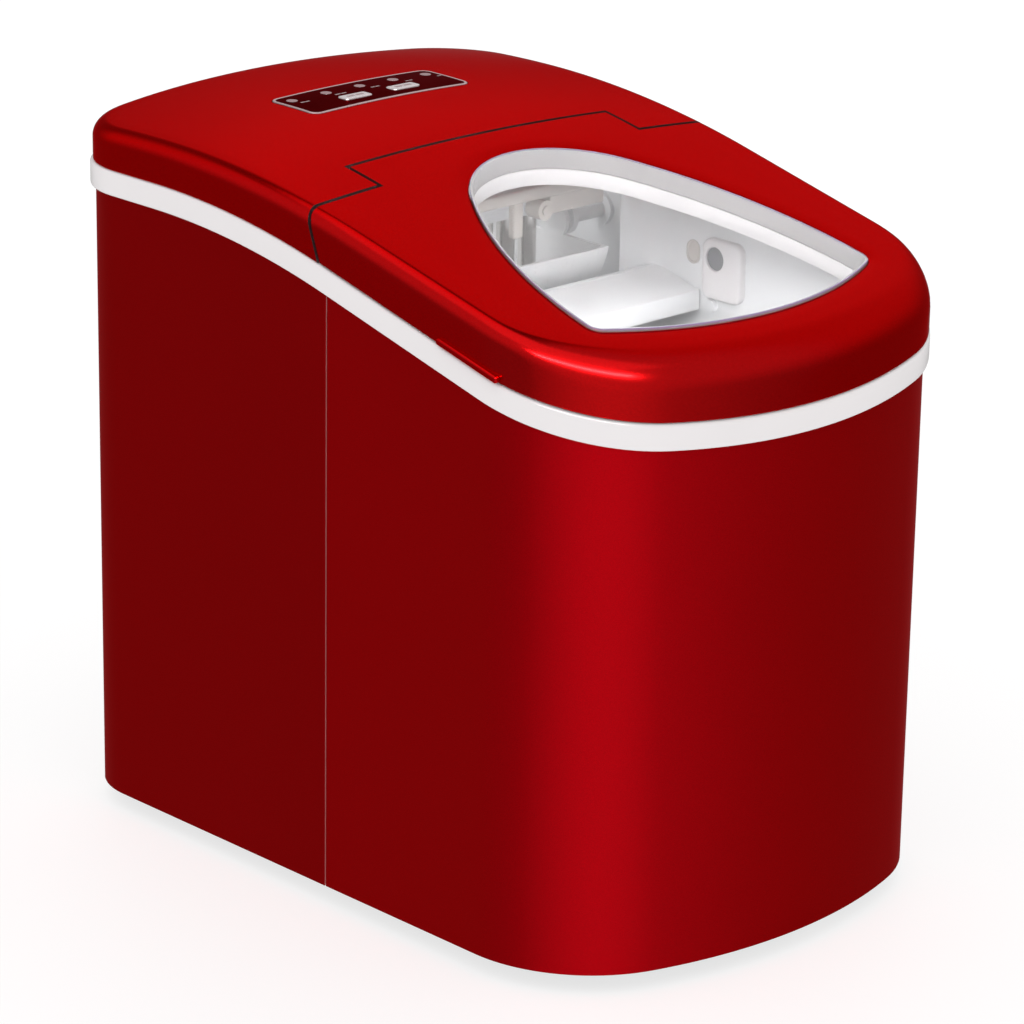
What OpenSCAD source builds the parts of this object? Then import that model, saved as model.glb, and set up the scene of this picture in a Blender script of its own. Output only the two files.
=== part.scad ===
// Countertop ice maker with a tilting lid, a water tray that dumps and a chilled row of fingers.
// The case stands on z = 0, its front faces -Y and its right side is +X.

/* [Case] */
// Width across the trim band
body_w = 241; // [238:1:243]
// Depth across the trim band
body_d = 358; // [356:1:360]
// Height of the case's lower edge above the table
foot_h = 8; // [7:0.5:9]
// Thickness of the sheet metal wraps
wrap_t = 1.2; // [0.8:0.1:1.4]
// How far the wraps stand back from the trim band's face
wrap_inset = 2.36; // [2:0.02:2.6]

/* [Trim band] */
// Height of the band's lower edge at the back
band_back_z = 290.9; // [289:0.1:292]
// Height of the band itself
band_h = 11.4; // [10:0.1:12]
// Slope of the band beside the lid
band_slope = 0.25; // [0.23:0.01:0.26]

/* [Top covers] */
// Thickness of the lid and cover skins
skin_t = 2.2; // [1.8:0.1:2.4]
// Height of the top surface above the side edge's line at the back
top_back_z = 321.2; // [320:0.1:321.6]
// Slope of the top beside the lid
top_slope = 0.237; // [0.23:0.001:0.245]
// Gap between the lid and the rear cover
lid_gap = 1.2; // [1:0.1:1.4]
// Half width of the tongue at the back of the lid
tongue_w = 76.8; // [75:0.1:77.4]
// Where the tongue ends at the back
tongue_y = 25.2; // [24:0.1:25.4]

/* [Lid hinge] */
// How far behind the middle the hinge axis lies
hinge_y = 11; // [10.5:0.1:11.5]
// Height of the hinge axis
hinge_z = 311; // [310.8:0.1:311.1]
// Radius of the hinge pins
hinge_pin_r = 1.5; // [1.3:0.1:1.5]

/* [Ice making] */
// How far behind the middle the tray axis lies
tray_y = 51; // [50.5:0.1:51.5]
// Height of the tray axis
tray_z = 264; // [263:0.1:264.5]
// Inner radius of the water tray
tray_r = 33; // [32:0.1:33.2]
// Number of ice making fingers
finger_count = 9; // [5:1:9]
// Distance between two fingers
finger_pitch = 13.5; // [12:0.1:13.5]

/* [Controls] */
// How far behind the middle the two buttons lie
button_y = 91.5; // [91:0.1:92]
// Half the distance between the two buttons
button_x = 14.3; // [14:0.1:15]
// Travel of a button
button_travel = 0.8; // [0.6:0.1:1]

/* [Hidden] */

$fn = 48;
clear = 0.06;       // radial clearance of a running fit
seat = 0.05;        // gap between pieces that rest on each other

half_w = body_w / 2;
half_d = body_d / 2;

// Plan outline of the case: corner and bow radii of the front and the rear end
front_corner = 67.6;
front_bow = 235;
rear_corner = 39;
rear_bow = 534;

// The top covers stand back a little from the band
cover_w = half_w - 0.4;
cover_front = -half_d + 0.4;
cover_back = half_d - 1.5;

// Curves of the band and of the top, seen from the side
band_flat_y = 105;
band_ramp_y = -8.6;
top_flat_y = 104;
top_ramp_y = -24;
side_x = 112;       // where the top's side line is measured

// Window in the lid: three tangent arcs and a front bow
window_tip_y = 5.3;
window_tip_r = 58;
window_side_r = 203;
window_turn = 55.8;
window_front_y = -150.5;
window_front_r = 182;
window_corner_r = 7;

panel_y = 97;
panel_w = 94;
panel_d = 32;
panel_r = 5;

tub_w = 103.5;      // half width of the tub
tub_t = 2.4;
tub_front = -162;
tub_back = 30;
bay_back = 96.4;    // back of the bay that holds the tray
bay_top = 306;
tub_floor = 40;
bay_floor = 214;

drain_x = 32;
drain_y = -150;
drain_r = 7;       // outer radius of the drain spout
fan_y = 107;
fan_z = 79;
compressor_x = -52;
compressor_y = 108;

// ---------------------------------------------------------------- curves

function smooth(t) = let (u = min(1, max(0, t))) u * u * (3 - 2 * u);

// Height that rises on a straight ramp and levels off in a parabola
function ramp(y, flat_y, ramp_y, flat_z, slope) =
  let (span = flat_y - ramp_y)
  y > flat_y ? flat_z
  : y > ramp_y ? flat_z - slope / (2 * span) * pow(flat_y - y, 2)
  : flat_z - slope * span / 2 - slope * (ramp_y - y);

function band_low(y) = ramp(y, band_flat_y, band_ramp_y, band_back_z, band_slope);

function band_top(y) = band_low(y) + band_h;

function side_line(y) =
  ramp(y, top_flat_y, top_ramp_y, top_back_z, top_slope) - 0.0006 * pow(max(0, y - top_flat_y), 2);

function crown(y) = 0.00024 + 0.00021 * smooth((y + 30) / 90);

function top_z(x, y) = side_line(y) + crown(y) * (side_x * side_x - x * x);

function edge_r(y) = 7 + 7 * smooth((-110 - y) / 55);

// How far a rounded edge of radius r has dropped at a distance t from the wall
function edge_drop(t, r) = t >= r ? 0 : r - sqrt(max(0, r * r - pow(r - t, 2)));

function arc(cx, cy, r, from, to, n) =
  [for (i = [0 : n - 1]) let (a = from + (to - from) * i / n) [cx + r * cos(a), cy + r * sin(a)]];

function line(a, b, n) = [for (i = [0 : n - 1]) a + (b - a) * i / n];

function bow_drop(w, r, bow) = bow - sqrt(pow(bow - r, 2) - pow(w - r, 2));

// Closed outline with bowed ends, from tangent arcs, run anticlockwise from the front left
function outline(w, front, back, fr, fb, rr, rb) =
  let (
    fc = front + bow_drop(w, fr, fb),
    rc = back - bow_drop(w, rr, rb),
    fa = asin((w - fr) / (fb - fr)),
    ra = asin((w - rr) / (rb - rr))
  )
  concat(
    arc(0, front + fb, fb, -90 - fa, -90 + fa, 8),
    arc(w - fr, fc, fr, -90 + fa, 0, 8),
    line([w, fc], [w, rc], 12),
    arc(w - rr, rc, rr, 0, 90 - ra, 6),
    arc(0, back - rb, rb, 90 - ra, 90 + ra, 8),
    arc(-w + rr, rc, rr, 90 + ra, 180, 6),
    line([-w, rc], [-w, fc], 12),
    arc(-w + fr, fc, fr, 180, 270 - fa, 8)
  );

// Outline of the case, moved in by t from the band's face
function case_ring(t) =
  outline(half_w - t, -half_d + t, half_d - t, front_corner - t, front_bow - t, rear_corner - t, rear_bow - t);

function cover_ring(t) =
  outline(cover_w - t, cover_front + t, cover_back - t, front_corner - t, front_bow - t, rear_corner - t,
    rear_bow - t);

function tub_ring(t) =
  outline(tub_w - t, tub_front + t, tub_back - t, 52 - t, 215 - t, 22 - t, 600 - t);

// One of the two points where two circles meet
function circles_meet(a, ra, b, rb) =
  let (
    d = norm(b - a),
    s = (ra * ra - rb * rb + d * d) / (2 * d),
    h = sqrt(ra * ra - s * s),
    u = (b - a) / d
  )
  a + s * u + h * [u.y, -u.x];

// Window outline, moved in by t
function window_ring(t) =
  let (
    tip = [0, window_tip_y - window_tip_r],
    side = tip - (window_side_r - window_tip_r) * [sin(window_turn), cos(window_turn)],
    bow = [0, window_front_y + window_front_r],
    corner = circles_meet(side, window_side_r - window_corner_r, bow, window_front_r - window_corner_r),
    to_side = atan2(corner.y - side.y, corner.x - side.x),
    to_bow = atan2(corner.y - bow.y, corner.x - bow.x),
    right = concat(
      arc(bow.x, bow.y, window_front_r - t, -90, to_bow, 8),
      arc(corner.x, corner.y, window_corner_r - t, to_bow, to_side, 5),
      arc(side.x, side.y, window_side_r - t, to_side, 90 - window_turn, 12),
      arc(tip.x, tip.y, window_tip_r - t, 90 - window_turn, 90, 10),
      [[0, window_tip_y - t]]
    )
  )
  concat(right, [for (i = [len(right) - 2 : -1 : 1]) [-right[i].x, right[i].y]]);

// Rectangle with round corners. Each long side is one line, or a row of short ones on a curved top.
function rounded_box(w, d, r, pieces = 1) =
  let (n = 6)
  concat(
    arc(w / 2 - r, -d / 2 + r, r, -90, 0, n),
    arc(w / 2 - r, d / 2 - r, r, 0, 90, n),
    line([w / 2 - r, d / 2], [-w / 2 + r, d / 2], pieces),
    arc(-w / 2 + r, d / 2 - r, r, 90, 180, n),
    arc(-w / 2 + r, -d / 2 + r, r, 180, 270, n),
    line([-w / 2 + r, -d / 2], [w / 2 - r, -d / 2], pieces)
  );

function moved(points, by) = [for (p = points) p + by];

// ---------------------------------------------------------------- general shapes

// Closed solid from rings of points with a point at each end
module rings(levels, low, high) {
  n = len(levels[0]);
  m = len(levels);
  all_points = concat([low], [for (ring = levels) each ring], [high]);
  polyhedron(all_points, concat(
    [for (i = [0 : n - 1]) [0, 1 + i, 1 + (i + 1) % n]],
    [for (k = [0 : m - 2], i = [0 : n - 1]) [
      1 + k * n + i, 1 + (k + 1) * n + i, 1 + (k + 1) * n + (i + 1) % n, 1 + k * n + (i + 1) % n
    ]],
    [for (i = [0 : n - 1]) [1 + (m - 1) * n + i, 1 + m * n, 1 + (m - 1) * n + (i + 1) % n]]
  ));
}

// Solid below the top surface, within the cover outline moved in by t, lowered by the same t
module top_dome(t, floor_z) {
  steps = [0, 0.4, 1.4, 3.2, 6.4, 9.5, 13.8];
  shrink = [0.8, 0.6, 0.4, 0.2];
  base = cover_ring(t);
  inner = cover_ring(t + 14);
  middle = [0, 0, top_z(0, 0) - t];
  rings(
    concat(
      [[for (p = base) [p.x, p.y, floor_z]]],
      [for (s = steps) [for (p = cover_ring(t + s))
        [p.x, p.y, top_z(p.x, p.y) - t - edge_drop(s, max(2, edge_r(p.y) - t))]]],
      [for (s = shrink) [for (p = inner) [p.x * s, p.y * s, top_z(p.x * s, p.y * s) - t]]]
    ),
    [0, 0, floor_z], middle
  );
}

// Plate that follows the top surface within a convex outline
module top_plate(points, low, high) {
  ys = [for (p = points) p.y];
  c = [0, (min(ys) + max(ys)) / 2];
  shrink = [1, 0.75, 0.5, 0.25];
  rings(
    concat(
      [for (k = [len(shrink) - 1 : -1 : 0]) [for (p = points) let (q = c + (p - c) * shrink[k])
        [q.x, q.y, top_z(q.x, q.y) + low]]],
      [for (s = shrink) [for (p = points) let (q = c + (p - c) * s) [q.x, q.y, top_z(q.x, q.y) + high]]]
    ),
    [c.x, c.y, top_z(c.x, c.y) + low], [c.x, c.y, top_z(c.x, c.y) + high]
  );
}

// Turns an outline drawn in Y and Z into a bar along X
module along_x(from, to) {
  translate([from, 0, 0])
    rotate([90, 0, 90])
      linear_extrude(to - from)
        children();
}

function band_steps() = [for (i = [0 : 24]) -190 + i * 16];

module above_band(gap) {
  along_x(-150, 150)
    polygon(concat([for (y = band_steps()) [y, band_top(y) + gap]], [[200, 500], [-200, 500]]));
}

module below_band(gap) {
  along_x(-150, 150)
    polygon(concat([[200, -100], [-200, -100]], [for (y = band_steps()) [y, band_top(y) + gap]]));
}

// One closed mesh out of faceted pieces and their cuts
module one_mesh() {
  resize([0, 0, 0])
    children();
}

module ring_wall(outer, inner, height) {
  linear_extrude(height)
    difference() {
      polygon(outer);
      polygon(inner);
    }
}

module bar(from, to, r) {
  v = to - from;
  translate(from)
    rotate([0, acos(v.z / norm(v)), atan2(v.y, v.x)])
      cylinder(h = norm(v), r = r);
}

module pipe(from, to, r, bore) {
  difference() {
    bar(from, to, r);
    bar(from + (from - to) * 0.01, to + (to - from) * 0.01, bore);
  }
}

// Points on a smooth route through hand placed points
function route_point(p, t) =
  let (
    i = min(len(p) - 2, floor(t)),
    u = t - i,
    a = p[max(0, i - 1)],
    b = p[i],
    c = p[i + 1],
    d = p[min(len(p) - 1, i + 2)]
  )
  0.5 * (2 * b + (c - a) * u + (2 * a - 5 * b + 4 * c - d) * u * u + (3 * b - a - 3 * c + d) * u * u * u);

function across(v, side) = let (w = side - v * (side * v)) w / norm(w);

// Sides of a tube along a route, each ring turned as little as possible from the last
function tube_sides(pts, i = 0, side = [0.31, 0.52, 0.79]) =
  i == len(pts) ? []
  : let (
    v = pts[min(len(pts) - 1, i + 1)] - pts[max(0, i - 1)],
    s = across(v / norm(v), side)
  )
  concat([[s, cross(v / norm(v), s)]], tube_sides(pts, i + 1, s));

module tube(points, r, per = 4) {
  sides = 8;
  steps = (len(points) - 1) * per;
  pts = [for (k = [0 : steps]) route_point(points, k / per)];
  frames = tube_sides(pts);
  rings(
    [for (k = [0 : steps]) [for (j = [0 : sides - 1]) let (a = -360 * j / sides)
      pts[k] + r * (frames[k][0] * sin(a) + frames[k][1] * cos(a))]],
    pts[0], pts[steps]
  );
}

// ---------------------------------------------------------------- case

module foot_places() {
  for (x = [-78, 78], y = [-118, 138])
    translate([x, y, 0])
      children();
}

module foot(x, y) {
  color("dimgray")
    translate([x, y, 0])
      difference() {
        union() {
          cylinder(h = 1.5, r1 = 9, r2 = 10);
          translate([0, 0, 1.5])
            cylinder(h = foot_h - 1, r = 10);
        }
        translate([0, 0, -1])
          cylinder(h = 4, r = 4.2);
        cylinder(h = 20, r = 2.05);
      }
}

module foot_screws() {
  color("silver")
    foot_places()
      translate([0, 0, 1.2]) {
        cylinder(h = 1.8, r = 3.8);
        cylinder(h = foot_h + 1.8, r = 2);
      }
}

module base_pan() {
  inset = wrap_inset + wrap_t + 0.3;
  color("gray")
    difference() {
      union() {
        translate([0, 0, foot_h + 0.5])
          linear_extrude(2.5)
            polygon(case_ring(inset));
        translate([0, 0, foot_h + 0.5])
          ring_wall(case_ring(inset), case_ring(inset + 2), 14);
      }
      translate([drain_x, drain_y, 0])
        cylinder(h = 30, r = 15);
      foot_places()
        cylinder(h = 30, r = 2.05);
      for (i = [0 : 7])
        translate([20 + i * 9, 70, 0])
          cube([4, 50, 30]);
    }
}

module wrap_wall() {
  difference() {
    translate([0, 0, foot_h])
      ring_wall(case_ring(wrap_inset), case_ring(wrap_inset + wrap_t), 320);
    above_band(-band_h - seat);
  }
}

wrap_seam_y = -7.4;

module front_wrap() {
  color("firebrick")
    difference() {
      wrap_wall();
      translate([-150, wrap_seam_y - 0.2, -10])
        cube([300, 300, 500]);
    }
}

function wrap_screw_z() = [26, 262];

module rear_wrap() {
  color("firebrick")
    difference() {
      wrap_wall();
      translate([-150, wrap_seam_y + 0.2 - 300, -10])
        cube([300, 300, 500]);
      for (i = [0 : 11], j = [0 : 1])
        translate([100, 58 + j * 52, 30 + i * 9])
          cube([40, 44, 4]);
      for (i = [0 : 9], j = [-1 : 1])
        translate([j * 50 - 21, 150, 90 + i * 9])
          cube([42, 60, 4]);
      translate([0, 150, 34])
        rotate([-90, 0, 0])
          cylinder(h = 60, r = 9);
      for (x = [-40, 40], z = wrap_screw_z())
        translate([x, 150, z])
          rotate([-90, 0, 0])
            cylinder(h = 60, r = 1.7);
    }
}

module wrap_screws() {
  wall_y = rear_bow_y(40);
  color("silver")
    for (x = [-40, 40], z = wrap_screw_z())
      translate([x, 0, z])
        rotate([-90, 0, 0]) {
          translate([0, 0, wall_y + 0.35])
            cylinder(h = 1.4, r = 3.4);
          translate([0, 0, wall_y - 8])
            cylinder(h = 9, r = 1.6);
        }
}

// Where the rear wrap's outer face lies at a distance x from the middle
function rear_bow_y(x) =
  let (r = rear_bow - wrap_inset) half_d - wrap_inset - r + sqrt(r * r - x * x);

module cord_gland() {
  face_y = half_d - wrap_inset;
  color("black")
    translate([0, 0, 34])
      rotate([-90, 0, 0])
        difference() {
          union() {
            translate([0, 0, face_y + 0.1])
              cylinder(h = 2, r = 12);
            translate([0, 0, face_y - 14])
              cylinder(h = 15, r = 8.9);
          }
          translate([0, 0, face_y - 20])
            cylinder(h = 30, r = 3.5);
        }
}

module trim_band() {
  lip = wrap_inset + wrap_t + seat;
  color("white")
    difference() {
      union() {
        difference() {
          ring_wall(case_ring(0), case_ring(lip + 2), 320);
          below_band(-band_h);
        }
        difference() {
          ring_wall(case_ring(lip), case_ring(lip + 2), 320);
          below_band(-band_h - 8);
        }
      }
      above_band(0);
    }
}

// ---------------------------------------------------------------- top covers

// Slanting face between the lid and the rear cover, moved back by gap
module behind_seam(gap) {
  along_x(-150, 150)
    polygon([[-9.1 + gap, 279], [13.4 + gap, 340], [300, 340], [300, 279]]);
}

module tongue(side, back) {
  translate([-tongue_w - side, -30, 280])
    cube([2 * (tongue_w + side), 30 + tongue_y + back, 60]);
}

module hinge_ear(from, to, r) {
  for (s = [-1, 1])
    scale([s, 1, 1])
      hull() {
        translate([from, hinge_y, hinge_z])
          rotate([0, 90, 0])
            cylinder(h = to - from, r = r, $fn = 32);
        translate([from, hinge_y - 2.5, hinge_z + 1])
          cube([to - from, 5, 2.4]);
      }
}

module hinge_bore(from, to, r) {
  for (s = [-1, 1])
    scale([s, 1, 1])
      translate([from, hinge_y, hinge_z])
        rotate([0, 90, 0])
          cylinder(h = to - from, r = r);
}

module skin(floor_z) {
  difference() {
    top_dome(0, floor_z);
    top_dome(skin_t, floor_z - 20);
  }
}

panel_cut = 1.2;    // depth of the recess that takes the control panel
panel_low = -0.8;   // underside of the panel and of its bezel, below the top surface
panel_pieces = 12;

// Wall behind the lid's tongue that keeps the tub apart from the controls
module cover_wall() {
  intersection() {
    top_dome(1, 250);
    translate([-100, 28.8, 297])
      cube([200, 1.6, 60]);
  }
}

module cover_skin() {
  one_mesh() {
    cover_wall();
    difference() {
      skin(260);
      below_band(seat);
      difference() {
        translate([-200, -400, 200])
          cube([400, 500, 200]);
        behind_seam(lid_gap);
      }
      tongue(lid_gap, lid_gap);
      top_plate(panel_ring(-0.2), -panel_cut, 5);
      for (x = [-button_x, button_x])
        translate([x - 9.2, button_y - 4.7, 300])
          cube([18.4, 9.4, 40]);
      for (x = light_places())
        translate([x, light_y, 300])
          cylinder(h = 40, r = 2.2, $fn = 24);
    }
  }
}

module rear_cover() {
  color("firebrick") {
    cover_skin();
    difference() {
      hinge_ear(78.4, 84, 4);
      hinge_bore(70, 90, hinge_pin_r + 0.01);
    }
  }
}

module hinge_pins() {
  color("silver")
    hinge_bore(66, 84, hinge_pin_r);
}

module lid_shell() {
  color("firebrick") {
    one_mesh()
      union() {
        difference() {
          skin(200);
          below_band(0.6);
          difference() {
            behind_seam(0);
            tongue(0, 0);
          }
          translate([-200, tongue_y, 200])
            cube([400, 400, 200]);
          translate([0, 0, 200])
            linear_extrude(200)
              polygon(window_ring(-0.3));
        }
        for (s = [-1, 1])
          scale([s, 1, 1])
            finger_lip();
        liner_screw_places()
          lid_boss();
      }
    difference() {
      hinge_ear(70.5, 76, 4);
      hinge_bore(60, 80, hinge_pin_r + clear);
    }
  }
}

// Post under the lid's skin that takes a screw of the liner
module lid_boss() {
  difference() {
    translate([0, 0, -8.1])
      cylinder(h = 6.7, r = 3.6, $fn = 20);
    translate([0, 0, -20])
      cylinder(h = 17, r = 1.6, $fn = 16);
  }
}

// Small ledge low on the lid's side that the fingers lift
module finger_lip() {
  translate([cover_w - 1, -114, band_top(-114) + 0.9])
    rotate([atan(band_slope), 0, 0])
      cube([3.1, 37, 3]);
}

module window_pane() {
  color("lightgray", 0.4)
    one_mesh()
      union() {
        top_plate(window_ring(0), -2, 1.2);
        difference() {
          top_plate(window_ring(-3), -4.4, -2.4);
          top_plate(window_ring(2), -6, 0);
        }
        difference() {
          top_plate(window_ring(0.2), -9.2, -1);
          top_plate(window_ring(2), -12, 0);
        }
      }
}

function liner_screws() = [[88.6, -100], [97, -60], [100, -22], [60, -155], [0, -161]];

module lid_liner() {
  color("white")
    one_mesh()
      difference() {
        union() {
          difference() {
            top_plate(liner_ring(), -11.2, -9.4);
            top_plate(window_ring(1), -30, 10);
          }
          difference() {
            top_plate(window_ring(-1.5), -17, -9.6);
            top_plate(window_ring(1), -30, 10);
          }
        }
        liner_screw_places()
          translate([0, 0, -50])
            cylinder(h = 100, r = 1.8, $fn = 16);
      }
}

// The lid's inner outline, cut off in front of the hinge
function liner_ring() =
  let (
    inset = skin_t + 1.6,
    w = cover_w - inset,
    turn = asin((cover_w - front_corner) / (front_bow - front_corner)),
    corner_y = cover_front + bow_drop(cover_w, front_corner, front_bow)
  )
  concat(
    arc(0, cover_front + front_bow, front_bow - inset, -90 - turn, -90 + turn, 10),
    arc(cover_w - front_corner, corner_y, front_corner - inset, -90 + turn, 0, 10),
    line([w, -100], [w, -16], 8),
    [[w, -14], [w - 8, -6]],
    line([w - 8, -6], [-w + 8, -6], 8),
    [[-w + 8, -6], [-w, -14]],
    line([-w, -16], [-w, -100], 8),
    arc(-cover_w + front_corner, corner_y, front_corner - inset, 180, 270 - turn, 10)
  );

module liner_screw_places() {
  for (p = liner_screws(), s = p.x == 0 ? [1] : [-1, 1])
    translate([p.x * s, p.y, top_z(p.x, p.y)])
      children();
}

module lid_screws() {
  color("silver")
    liner_screw_places()
      translate([0, 0, -14]) {
        cylinder(h = 1.6, r = 3);
        cylinder(h = 10, r = 1.5);
      }
}

// ---------------------------------------------------------------- controls

function light_places() = [for (i = [-2 : 2]) i * 20];

light_y = 104.6;

// Outline of the control panel, moved in by t
function panel_ring(t) =
  moved(rounded_box(panel_w - 2 * t, panel_d - 2 * t, panel_r - t, panel_pieces), [0, panel_y]);

module panel_bezel() {
  color("silver")
    one_mesh()
      difference() {
        top_plate(panel_ring(0), panel_low, 0.9);
        top_plate(panel_ring(1.5), -5, 5);
      }
}

module control_panel() {
  color("darkred")
    one_mesh()
      difference() {
        top_plate(panel_ring(1.55), panel_low, 0.5);
        for (x = [-button_x, button_x])
          translate([x - 8.4, button_y - 3.9, 300])
            cube([16.8, 7.8, 40]);
        for (x = light_places())
          translate([x, light_y, 300])
            cylinder(h = 40, r = 2.1, $fn = 24);
      }
}

module indicator_lights() {
  color("pink")
    for (x = light_places())
      translate([x, light_y, top_z(x, light_y) - 8])
        cylinder(h = 8.5, r = 2);
}

// Button cap with a flange under the panel and a stem that reaches for its switch
module push_button(x) {
  top = 328;
  flange_z = 323.4;
  stem_z = board_z + 5.6 + 0.4 + button_travel;
  color("silver")
    translate([x, button_y, 0]) {
      translate([0, 0, flange_z])
        linear_extrude(top - flange_z)
          polygon(rounded_box(16, 7, 3.2));
      translate([0, 0, flange_z])
        linear_extrude(2)
          polygon(rounded_box(17.6, 8.6, 3));
      translate([0, 0, stem_z])
        cylinder(h = flange_z - stem_z + 1, r = 1.5);
    }
}

board_z = 313;

module control_board() {
  color("darkgreen")
    difference() {
      translate([-52, 76, board_z])
        cube([104, 42, 1.6]);
      for (x = [-47, 47], y = [81, 113])
        translate([x, y, board_z - 1])
          cylinder(h = 4, r = 1.6);
    }
  color("black") {
    translate([20, 108, board_z - 12])
      cube([26, 9, 12]);
    translate([-44, 108, board_z - 9])
      cube([30, 8, 9]);
  }
}

module button_switches() {
  color("black")
    for (x = [-button_x, button_x])
      translate([x, button_y, board_z + 1.6]) {
        translate([-3, -3, 0])
          cube([6, 6, 3]);
        cylinder(h = 4, r = 1.7);
      }
}

// ---------------------------------------------------------------- tub

module inner_tub() {
  color("whitesmoke") {
    tub_ledge();
    mirror([1, 0, 0])
      tub_ledge();
    tub_wall();
  }
}

module tub_wall() {
  bay_w = tub_w;
    difference() {
      union() {
        difference() {
          union() {
            translate([0, 0, tub_floor])
              linear_extrude(300)
                polygon(tub_ring(0));
            difference() {
              translate([0, 0, 180])
                linear_extrude(200)
                  polygon(case_ring(wrap_inset + wrap_t + 2.3));
              below_band(-3.5);
              translate([-150, 31, 0])
                cube([300, 300, 500]);
            }
          }
          above_band(-1.5);
        }
        translate([-bay_w, tub_back - 20, bay_floor])
          cube([2 * bay_w, bay_back - tub_back + 20, band_top(10) - bay_floor - 1.5]);
        translate([-bay_w, tub_back + 1, bay_floor])
          cube([2 * bay_w, bay_back - tub_back - 1, bay_top - bay_floor]);
        translate([drain_x, drain_y, 6.6])
          cylinder(h = tub_floor, r = drain_r);
      }
      translate([0, 0, tub_floor + tub_t])
        linear_extrude(400)
          polygon(tub_ring(tub_t));
      translate([-bay_w + tub_t, 0, bay_floor + tub_t])
        cube([2 * (bay_w - tub_t), bay_back - tub_t, 200]);
      translate([drain_x, drain_y, 0])
        cylinder(h = 80, r = drain_r - 2.2);
      translate([-130, tray_y, tray_z])
        rotate([0, 90, 0])
          cylinder(h = 260, r = 6);
      translate([30, 20, 56])
        rotate([-90, 0, 0])
          cylinder(h = 20, r = 4.05);
      translate([60, 80, 301])
        rotate([-90, 0, 0])
          cylinder(h = 20, r = 3.05);
    }
}

// Ledge on the tub's side wall that the basket stands on
module tub_ledge() {
  translate([basket_w - 5, -112, basket_low - 5.3])
    cube([tub_w - basket_w + 4, 70, 5]);
}

module tub_insulation() {
  color("ivory")
    difference() {
      translate([0, 0, foot_h + 3.1])
        linear_extrude(200)
          polygon(case_ring(wrap_inset + wrap_t + 2.4));
      translate([0, 0, tub_floor - 0.2])
        linear_extrude(400)
          polygon(tub_ring(-0.3));
      translate([-200, tub_back + 0.2, 0])
        cube([400, 400, 400]);
      translate([drain_x, drain_y, 0])
        cylinder(h = 80, r = 15);
      translate([30, 20, 56])
        rotate([-90, 0, 0])
          cylinder(h = 20, r = 4.5);
    }
}

module bulkhead() {
  color("lightgray")
    difference() {
      translate([-114, tub_back + 0.5, foot_h + 3.2])
        cube([228, 1.5, 200]);
      translate([30, 20, 56])
        rotate([-90, 0, 0])
          cylinder(h = 20, r = 4.05);
    }
}

chute_r = 41;

// Curved floor below the tray, and the slope that leads the ice to the basket
module ice_chute() {
  color("white")
    difference() {
      union() {
        along_x(-100, 100)
          difference() {
            translate([tray_y, tray_z])
              circle(r = chute_r + 2, $fn = 96);
            translate([tray_y, tray_z])
              circle(r = chute_r, $fn = 96);
            translate([tray_y - 60, tray_z - 18])
              square([120, 80]);
          }
        along_x(-100, 100)
          polygon([[14.2, 243.8], [-12, 236], [-12, 230], [-14, 230], [-14, 239], [12.4, 245.8]]);
      }
      for (i = [-6 : 6])
        translate([i * 14 - 2, tray_y - 12, 200])
          cube([4, 24, 40]);
    }
}

sensor_y = -25;

module sensor_housings() {
  color("white")
    for (s = [-1, 1])
      scale([s, 1, 1])
        difference() {
          hull()
            for (y = [-36, -22], z = [242, 260])
              translate([97.4, y, z])
                rotate([0, 90, 0])
                  cylinder(h = 3.6, r = 5, $fn = 32);
          translate([90, sensor_y, 256])
            rotate([0, 90, 0])
              cylinder(h = 9.6, r = 5.5);
        }
}

module sensor_lenses() {
  color("dimgray")
    for (s = [-1, 1])
      scale([s, 1, 1])
        translate([98.2, sensor_y, 256])
          rotate([0, 90, 0])
            cylinder(h = 1.4, r = 5.3);
}

// ---------------------------------------------------------------- ice making

module evaporator() {
  w = (finger_count - 1) * finger_pitch + 16;
  color("silver") {
    translate([-w / 2, tray_y - 9, tray_z + 8])
      cube([w, 18, 9]);
    for (x = [-46, 46])
      translate([x, tray_y, tray_z + 17])
        cylinder(h = 29, r = 3);
  }
}

module evaporator_fingers() {
  color("gainsboro")
    for (i = [0 : finger_count - 1])
      translate([(i - (finger_count - 1) / 2) * finger_pitch, tray_y, tray_z - 28])
        union() {
          translate([0, 0, 4.2])
            sphere(r = 4.2);
          translate([0, 0, 4.2])
            cylinder(h = 31.8, r = 4.2);
        }
}

module evaporator_bracket() {
  color("white")
    difference() {
      union() {
        translate([-100.9, tray_y - 8, 300.5])
          cube([201.8, 16, 4]);
        for (x = [-24, 24])
          translate([x - 5, tray_y - 6, tray_z + 17])
            cube([10, 12, 20]);
      }
      for (x = [-46, 46])
        translate([x, tray_y, 290])
          cylinder(h = 30, r = 4);
    }
}

module evaporator_cover() {
  color("white")
    difference() {
      translate([-103, 31.5, bay_top + 0.1])
        cube([206, 64.5, 1.6]);
      for (x = [-46, 46])
        translate([x, tray_y, 290])
          cylinder(h = 30, r = 4);
    }
}

tray_half = 70;

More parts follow.
